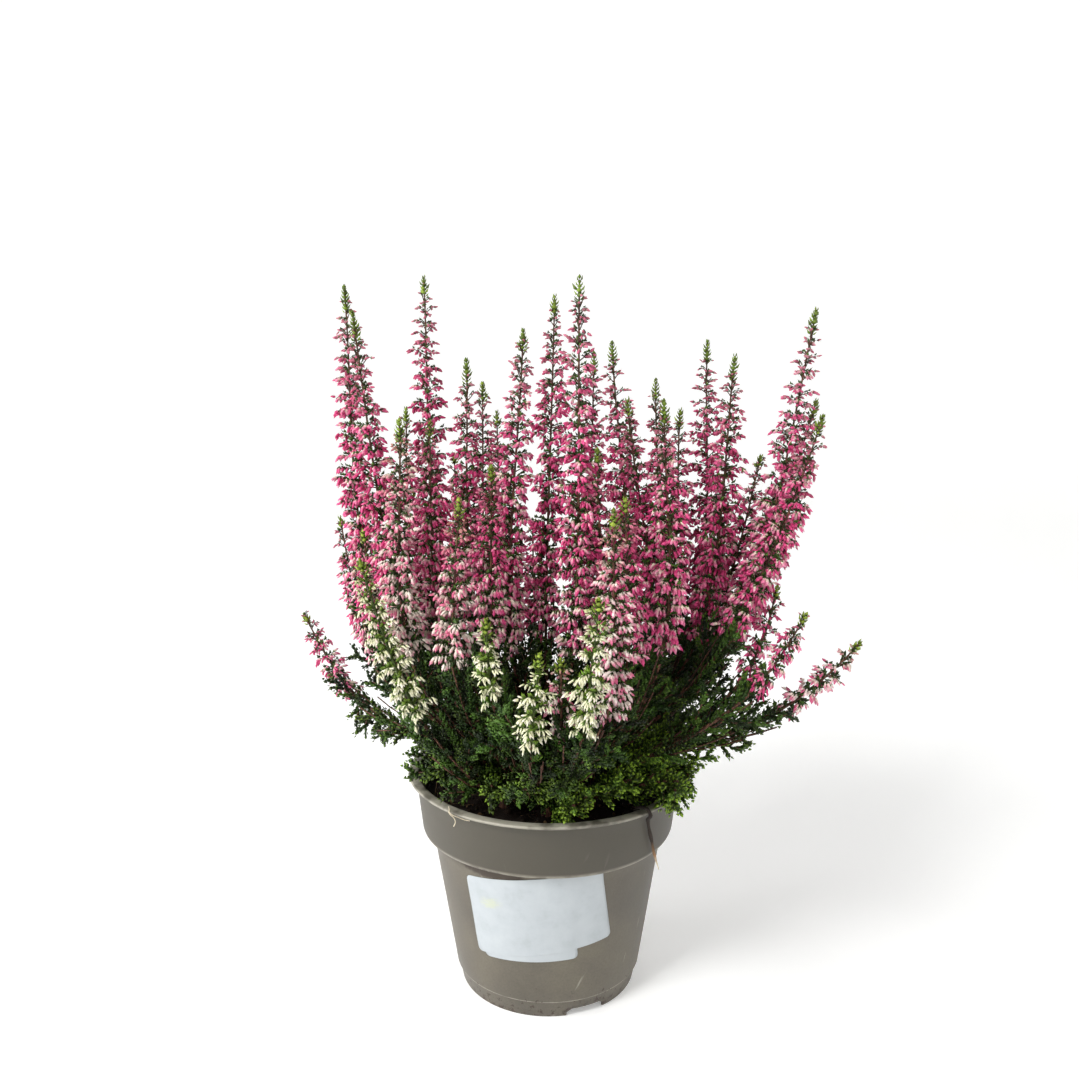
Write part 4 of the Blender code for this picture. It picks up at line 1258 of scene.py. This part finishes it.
def green_tip(points, low, high, youth, rng):
    """The leafy tip: crossed pairs of scales that close in toward the top."""
    pairs = max(6, int((high - low) / 0.85))
    pair = np.repeat(np.arange(pairs), 2)
    share = pair / (pairs - 1)
    spot, forward = along(points, low + share * (high - low - 1.0))
    turn = np.pi / 2 * pair + np.pi * (np.arange(2 * pairs) % 2) + rng.normal(0, 0.15, 2 * pairs)
    out = around_stem(forward, turn)
    size = by_height(share, (0, 2.6), (0.4, 3.2), (1, 2.0)) * rng.normal(1, 0.16, 2 * pairs)
    ahead = unit(by_height(share, (0, 1.0), (0.6, 0.75), (1, 0.15))[:, None] * out + forward)
    axes = axes_from(ahead, out, 0.75 * size, 0.5 * size, size)
    chance = rng.random(2 * pairs)
    return shell_of(scale, spot + 0.2 * out, axes, TIP_SHELL, chance=chance, height=0.4, mood=youth)


# %% Grow the spikes
PALE_LENGTH = 50.0
TWIGS_SHOW_FROM = 0.45


def pale_foot(foot):
    """How pale the lowest buds are: most at the left and the front of the plant, least at the right."""
    x, y, _ = foot
    return np.clip(0.65 - 0.009 * x, 0.15, 0.9) * np.clip(1 - 0.007 * y, 0.4, 1.2)


def make_spike(name, shoot, seed, node):
    """One flower spike: stem, branchlets, small leaves, buds in their cups, and a green tip."""
    rng = np.random.default_rng(seed)
    points = shoot["points"]
    reach = reach_of(points)
    foot, end = reach[shoot["joint"]], reach[-1]
    tip_foot = end - by_height(points[-1][2], (190, 5.5), (240, 7.0), (300, 10.5)) * rng.uniform(0.85, 1.2)
    stem = shell(*stem_tube(points, foot, end - 1.5, 0.72, 0.34), slot=BARK_SHELL)

    spot, out, forward, height = branchlets(points, foot + 3.0, tip_foot + 1.0, rng)
    count = len(spot)
    reach_out = by_height(
        height, (0, 5.0), (0.12, 6.6), (0.35, 6.9), (0.65, 6.2), (0.85, 4.7), (0.95, 3.2), (1, 1.6)
    )
    slim = by_height(tip_foot - foot, (25, 0.7), (75, 1.0)) * (0.35 + 0.65 * shoot["girth"])
    reach_out = slim * reach_out * rng.uniform(0.96, 1.12)
    out_step = out * (reach_out * rng.normal(1, 0.2, count))[:, None]
    rise = by_height(height, (0, 1.5), (0.5, 2.8), (1, 3.4)) * rng.normal(1, 0.45, count)
    rise_step = forward * rise[:, None]
    start = spot + 0.3 * out
    lines = np.stack([arc(start, out_step, rise_step, t) for t in (0.0, 0.8)], axis=1)
    lines = lines[height > TWIGS_SHOW_FROM]
    twigs = sweep_tubes(lines, np.full((len(lines), 1), 1.0) * [0.32, 0.2], 3)

    low_down = np.clip(1 - height * (tip_foot - foot) / PALE_LENGTH, 0, 1)
    pale = 0.35 * rng.random() ** 2 + pale_foot(points[shoot["joint"]]) * low_down
    is_white = shoot["colour"] == "white"
    bract_youth = 0.85 if is_white else 0.1
    fullness = slim * (1.05 if is_white else 1.0)
    plump = (0.6 + 0.4 * slim) * (0.8 if is_white else 1.0)
    buds, bud_count = bud_shells(
        start, out, forward, height, out_step, rise_step, pale, bract_youth, plump, fullness, rng
    )
    leaves = spike_leaves(start, out, forward, height, out_step, rise_step, bract_youth, rng)
    tip_youth = by_height(points[-1][2], (190, 1.0), (240, 0.6), (290, 0.2))
    tip = green_tip(points, tip_foot, end, tip_youth, rng)
    shells = [stem, shell(*twigs, slot=BARK_SHELL, mood=0.5), leaves, tip, *buds]
    # A white heather has no red in its stems either: they are green.
    materials = [PETALS[shoot["colour"]], LEAF, TIP_LEAF, TIP_LEAF if is_white else BARK]
    make_piece(name, shells, materials, [node])
    return bud_count


spikes = [shoot for shoot in shoots if shoot["joint"] is not None]
bud_total = 0
for index, shoot in enumerate(spikes):
    number = f"{index + 1:02d}"
    bud_total += make_spike(f"flowers_{number}", shoot, 100 + index, f"spike_{number}")
print(bud_total, "buds on", len(spikes), "spikes")

# %% [markdown]
# ## Leafy branches
# Below the flowers each stem is clothed in short sprigs of scale leaves, and at the foot it is bare wood.
# The sprigs leave the stem at about 45 degrees, each turned by the golden angle from the last, as leaves
# on many plants are. Low tufts that get the light are young and bright green.

# %% Branch rules
GOLDEN_ANGLE = math.radians(137.5)
SPRIG_SPACING = 1.9
SIDE_SPACING = 13.0
YOUNG_BELOW = 132.0
BARE_TWIGS = 7
LEAFY_CORDS = 4
CORD_ROWS = 22
HANG_FROM = (55.0, -10.0)
DROOPS_LEFT_OF = -104.0


def sprigs_on(points, low, high, spacing, lengths, youth, plump, rng):
    """Sprigs along a stem as shells, each from the one of three sizes that is nearest."""
    count = max(4, round((high - low) / spacing))
    spot, forward = along(points, np.linspace(low, high, count) + rng.normal(0, 0.5, count))
    turn = GOLDEN_ANGLE * np.arange(count) + rng.normal(0, 0.3, count)
    out = around_stem(forward, turn)
    ahead = unit(rng.uniform(0.7, 1.2, count)[:, None] * out + forward)
    length = by_height(np.linspace(0, 1, count), *lengths) * rng.normal(1, 0.16, count)
    length = np.clip(length, 3.5, 14)
    low_down = np.clip((YOUNG_BELOW - spot[:, 2]) / 16, 0, 1)
    outer = np.clip((np.hypot(spot[:, 0], spot[:, 1]) - 34) / 14, 0, 1)
    sunny = np.clip(0.6 + 0.012 * spot[:, 0], 0.25, 1.0)
    youth = np.clip(youth * sunny + 0.7 * low_down * outer * sunny + rng.normal(0, 0.15, count), 0, 1)
    chance = rng.random(count)
    sizes = np.array(list(SPRIG_KINDS))
    nearest = np.abs(length[:, None] - sizes).argmin(axis=1)
    shells = []
    for kind, size in enumerate(sizes):
        mine = nearest == kind
        n = int(mine.sum())
        if n == 0:
            continue
        sprig = SPRIG_KINDS[size]
        wide = size * plump * rng.uniform(0.88, 1.15, n)
        axes = axes_from(ahead[mine], forward[mine] - 0.8 * out[mine], wide, wide, length[mine])
        tone = {"chance": chance[mine], "mood": youth[mine]}
        shells.append(shell_of(sprig["shape"], spot[mine] + 0.2 * out[mine], axes, 0, **tone))
        for mark in ("along", "height"):
            shells[-1]["marks"][mark] = np.tile(sprig[mark], n)
    return shells


def hanging_shoots(points, end, step, rng):
    """Lines that hang from five places back from end: foot + L (0.45 t out + (0.3 t - t^2) up)."""
    spot, _ = along(points, end - 1.0 - step * np.arange(5))
    swing = np.radians([-60.0, 45.0, 0.0, -35.0, 25.0]) + np.arctan2(spot[:, 1], spot[:, 0])
    out = np.stack([np.cos(swing), np.sin(swing), 0 * swing], axis=1)
    length = rng.uniform(9, 14, len(spot))[:, None, None]
    t = np.linspace(0, 1, 6)[None, :, None]
    return spot[:, None] + length * (0.45 * t * out[:, None] + (0.3 * t - t**2) * [0, 0, 1.0])


def side_shoots(points, low, high, spacing, lengths, rng):
    """Lines of side shoots: each leaves its stem sideways and turns up to grow beside it.

    A line is foot + L (0.62 t out + (0.5 t + 0.35 t^2) forward), for t from 0 to 1. High on a stem those
    that point away from the plant's axis are shorter, because the stem leans over them.
    """
    count = max(1, round((high - low) / spacing))
    share = np.linspace(0, 1, count) ** 0.75
    spot, forward = along(points, low + (high - low) * share + rng.normal(0, 2.0, count))
    turn = GOLDEN_ANGLE * np.arange(count) + rng.uniform(0, 2 * np.pi)
    out = around_stem(forward, turn)
    away = (out * unit(spot * [1, 1, 0])).sum(axis=1)
    length = rng.uniform(*lengths, count) * (1 - 0.6 * share * np.clip(away, 0, 1))
    t = np.linspace(0, 1, 6)[None, :, None]
    up = (0.5 * t + 0.35 * t**2) * forward[:, None]
    return spot[:, None] + length[:, None, None] * (0.62 * t * out[:, None] + up)


def cords_beside(points, low, high, count, rows, rng):
    """Lines that climb beside a stem: stem(place + L t) + R t^0.6 out, for t from 0 to 1."""
    length = rng.uniform(25, 45, (count, 1))
    place = rng.uniform(low, max(low + 1, high - 22), (count, 1))
    t = np.linspace(0, 1, rows)[None, :]
    spot, forward = along(points, np.minimum(place + length * t, high).ravel())
    out = around_stem(forward, np.repeat(rng.uniform(0, 2 * np.pi, count), rows))
    spot = spot + (rng.uniform(2.5, 8.5, (count, 1)) * t**0.6).reshape(-1, 1) * out
    past = np.maximum(place + length * t - high, 0).reshape(-1, 1)
    return (spot + past * forward).reshape(count, rows, 3)


def leafy_cords(lines, rng):
    """Pairs of scales along lines (cords, rows, 3), each pair a quarter turn from the last."""
    cords, rows, _ = lines.shape
    forward = np.repeat(unit(np.gradient(lines, axis=1)).reshape(-1, 3), 2, axis=0)
    spot = np.repeat(lines.reshape(-1, 3), 2, axis=0)
    turn = np.pi / 2 * (np.arange(2 * cords * rows) // 2) + np.pi * (np.arange(2 * cords * rows) % 2)
    out = around_stem(forward, turn)
    ahead = unit(0.36 * out + 0.9 * forward)
    size = rng.normal(2.7, 0.3, len(spot))
    axes = axes_from(ahead, out, 0.6 * size, 0.45 * size, size)
    chance = np.repeat(rng.random(cords), 2 * rows)
    return shell_of(leaf, spot + 0.3 * out, axes, 0, chance=chance, height=0.5, mood=0.08)


def make_trunk(spot):
    """A woody foot that stands in the soil: a tapered, slightly crooked tube."""
    z = np.linspace(76, 99, 9)
    line = np.stack([spot[0] + 0.4 * np.sin(0.4 * z), spot[1] + 0.4 * np.cos(0.3 * z), z], axis=1)
    radius = np.interp(z, [76, 90, 96, 99], [3.0, 3.0, 2.4, 1.2])
    return shell(*sweep_tubes(line[None], radius[None], 10), slot=1)


def make_branch(name, spot, own, seed, node):
    """One trunk with its leafy stems, their side shoots, and its tufts."""
    rng = np.random.default_rng(seed)
    shells = [make_trunk(spot)]
    for shoot in own:
        points = shoot["points"]
        reach = reach_of(points)
        if shoot["joint"] is None:
            end, youth, spacing, thick, plump = reach[-1], 0.8, 1.4, 1.0, 1.25
            sizes = ((0, 7.0), (0.4, 9.5), (0.9, 8.0), (1, 6.0))
            sides = side_shoots(points, 14.0, end - 5.0, 9.0, (10.0, 15.0), rng)
            if points[-1][0] > HANG_FROM[0] and points[-1][1] < HANG_FROM[1]:
                sides = np.concatenate([sides, hanging_shoots(points, end, 2.5, rng)])
        else:
            end, youth, spacing, thick, plump = reach[shoot["joint"]], 0.1, SPRIG_SPACING, 1.25, 1.1
            sizes = ((0, 8.0), (0.3, 11.0), (0.75, 9.5), (1, 5.5))
            sides = side_shoots(points, 20.0, end - 8.0, SIDE_SPACING, (15.0, 25.0), rng)
            if points[-1][0] < DROOPS_LEFT_OF:
                sides = np.concatenate([sides, hanging_shoots(points, end, 6.0, rng)])
            bare = cords_beside(points, 8.0, end - 12.0, BARE_TWIGS, 5, rng)
            shells.append(shell(*sweep_tubes(bare, np.full((BARE_TWIGS, 5), 0.4), 3), slot=1))
            shells.append(leafy_cords(cords_beside(points, 20.0, end, LEAFY_CORDS, CORD_ROWS, rng), rng))
        shells.append(shell(*stem_tube(points, 0.0, end + 1.0, thick, 0.72), slot=1))
        shells += sprigs_on(points, 7.0, end - 1.0, spacing, sizes, youth, plump, rng)
        small = ((0, 5.0), (0.4, 8.0), (0.8, 7.0), (1, 5.0))
        for line in sides:
            length = reach_of(line)[-1]
            shells.append(shell(*stem_tube(line, 0.0, length, 0.5, 0.25, 5.0, 4), slot=1))
            shells += sprigs_on(line, 2.0, length, 1.9, small, youth, plump, rng)
    return make_piece(name, shells, [LEAF, BARK], [node])


for index, spot in enumerate(trunks):
    own = [shoot for shoot in shoots if shoot["trunk"] == index]
    number = index + 1
    piece = make_branch(f"leafy_branch_{number}", spot, own, 300 + index, f"branch_{number}")
    print(piece.name, len(own), "shoots,", len(piece.data.polygons), "triangles")

# %% [markdown]
# ## Odds and ends on the rim
# A dried root strand hangs over the lip at the right, dark and flat with a thin pale end, and two fine
# pale root hairs cling to the band at the left. All are tubes along a few points given round the pot as
# radius, angle from the front, and height.


# %% Root strands
def round_pot(stations):
    """Points (radius, degrees right of the front, height) as x, y, z."""
    radius, degrees, height = np.array(stations, float).T
    angle = np.radians(degrees)
    return np.stack([radius * np.sin(angle), -radius * np.cos(angle), height], axis=1)


ROOT_PATH = (
    (52.0, 37.5, 91.0),
    (58.0, 38.2, 98.0),
    (61.8, 38.8, 103.2),
    (65.4, 39.5, 103.3),
    (66.4, 40.2, 101.0),
    (63.2, 42.0, 97.0),
    (61.9, 44.2, 91.0),
    (61.1, 46.8, 85.0),
    (60.6, 49.0, 79.0),
    (60.9, 50.6, 74.0),
    (61.6, 51.8, 69.5),
)
HAIR_LOW = ((64.0, -41.0, 102.6), (65.6, -40.2, 101.8), (63.2, -39.6, 98.5), (61.6, -40.4, 95.6))
HAIR_LEVEL = ((63.0, -42.6, 102.7), (65.5, -39.4, 101.4), (63.0, -37.2, 99.4), (62.2, -34.8, 98.8))
HAIR_PATHS = (HAIR_LOW + ((61.4, -41.6, 93.4),), HAIR_LEVEL + ((62.0, -32.6, 98.9),))


def evenly_along(path, count):
    """Points at even distances along a path round the pot."""
    points = round_pot(path)
    return along(points, np.linspace(0, reach_of(points)[-1], count))[0][None]


share = np.linspace(0, 1, 34)
radius = by_height(share, (0, 0.7), (0.3, 1.0), (0.8, 0.7), (1, 0.25)) * (1 + 0.2 * np.sin(31 * share))
strand = sweep_tubes(evenly_along(ROOT_PATH, 34), radius[None], 7, squash=0.6)
hair_shells = [shell(*strand, along=np.append(np.repeat(share, 7), [0, 1]))]
for path in HAIR_PATHS:
    hair = sweep_tubes(evenly_along(path, 18), np.full((1, 18), 0.22), 5)
    hair_shells.append(shell(*hair, along=1.0))

# Dead root: fibrous and matt, nearly black while damp, straw-coloured where it has dried.
material, tree, shader, position = new_finish("dried_root", 0.85)
marks = add(tree, "Attribute", attribute_name="along")
root_tone = add(
    tree, "ValToRGB", {"Fac": marks},
    stops=[(0.0, "1B130E"), (0.72, "2A1F17"), (0.86, "8A6A4C"), (0.97, "D9CDB4")],
)
fibre = add(tree, "TexNoise", {"Vector": position, "Scale": lumps(0.8), "Detail": 4.0})
fibre_bump = add(tree, "Bump", {"Height": fibre, "Strength": 0.7, "Distance": 0.3 * MM})
fill(tree, shader, {"Base Color": root_tone, "Normal": fibre_bump})
make_piece("root_strands", hair_shells, [material], [])
print("root strand of", round(reach_of(round_pot(ROOT_PATH))[-1]), "mm over the lip")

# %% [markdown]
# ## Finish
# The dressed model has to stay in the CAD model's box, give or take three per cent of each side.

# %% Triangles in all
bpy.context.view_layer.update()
total = sum(len(piece.data.polygons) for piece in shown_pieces())
print("triangles in all:", total)
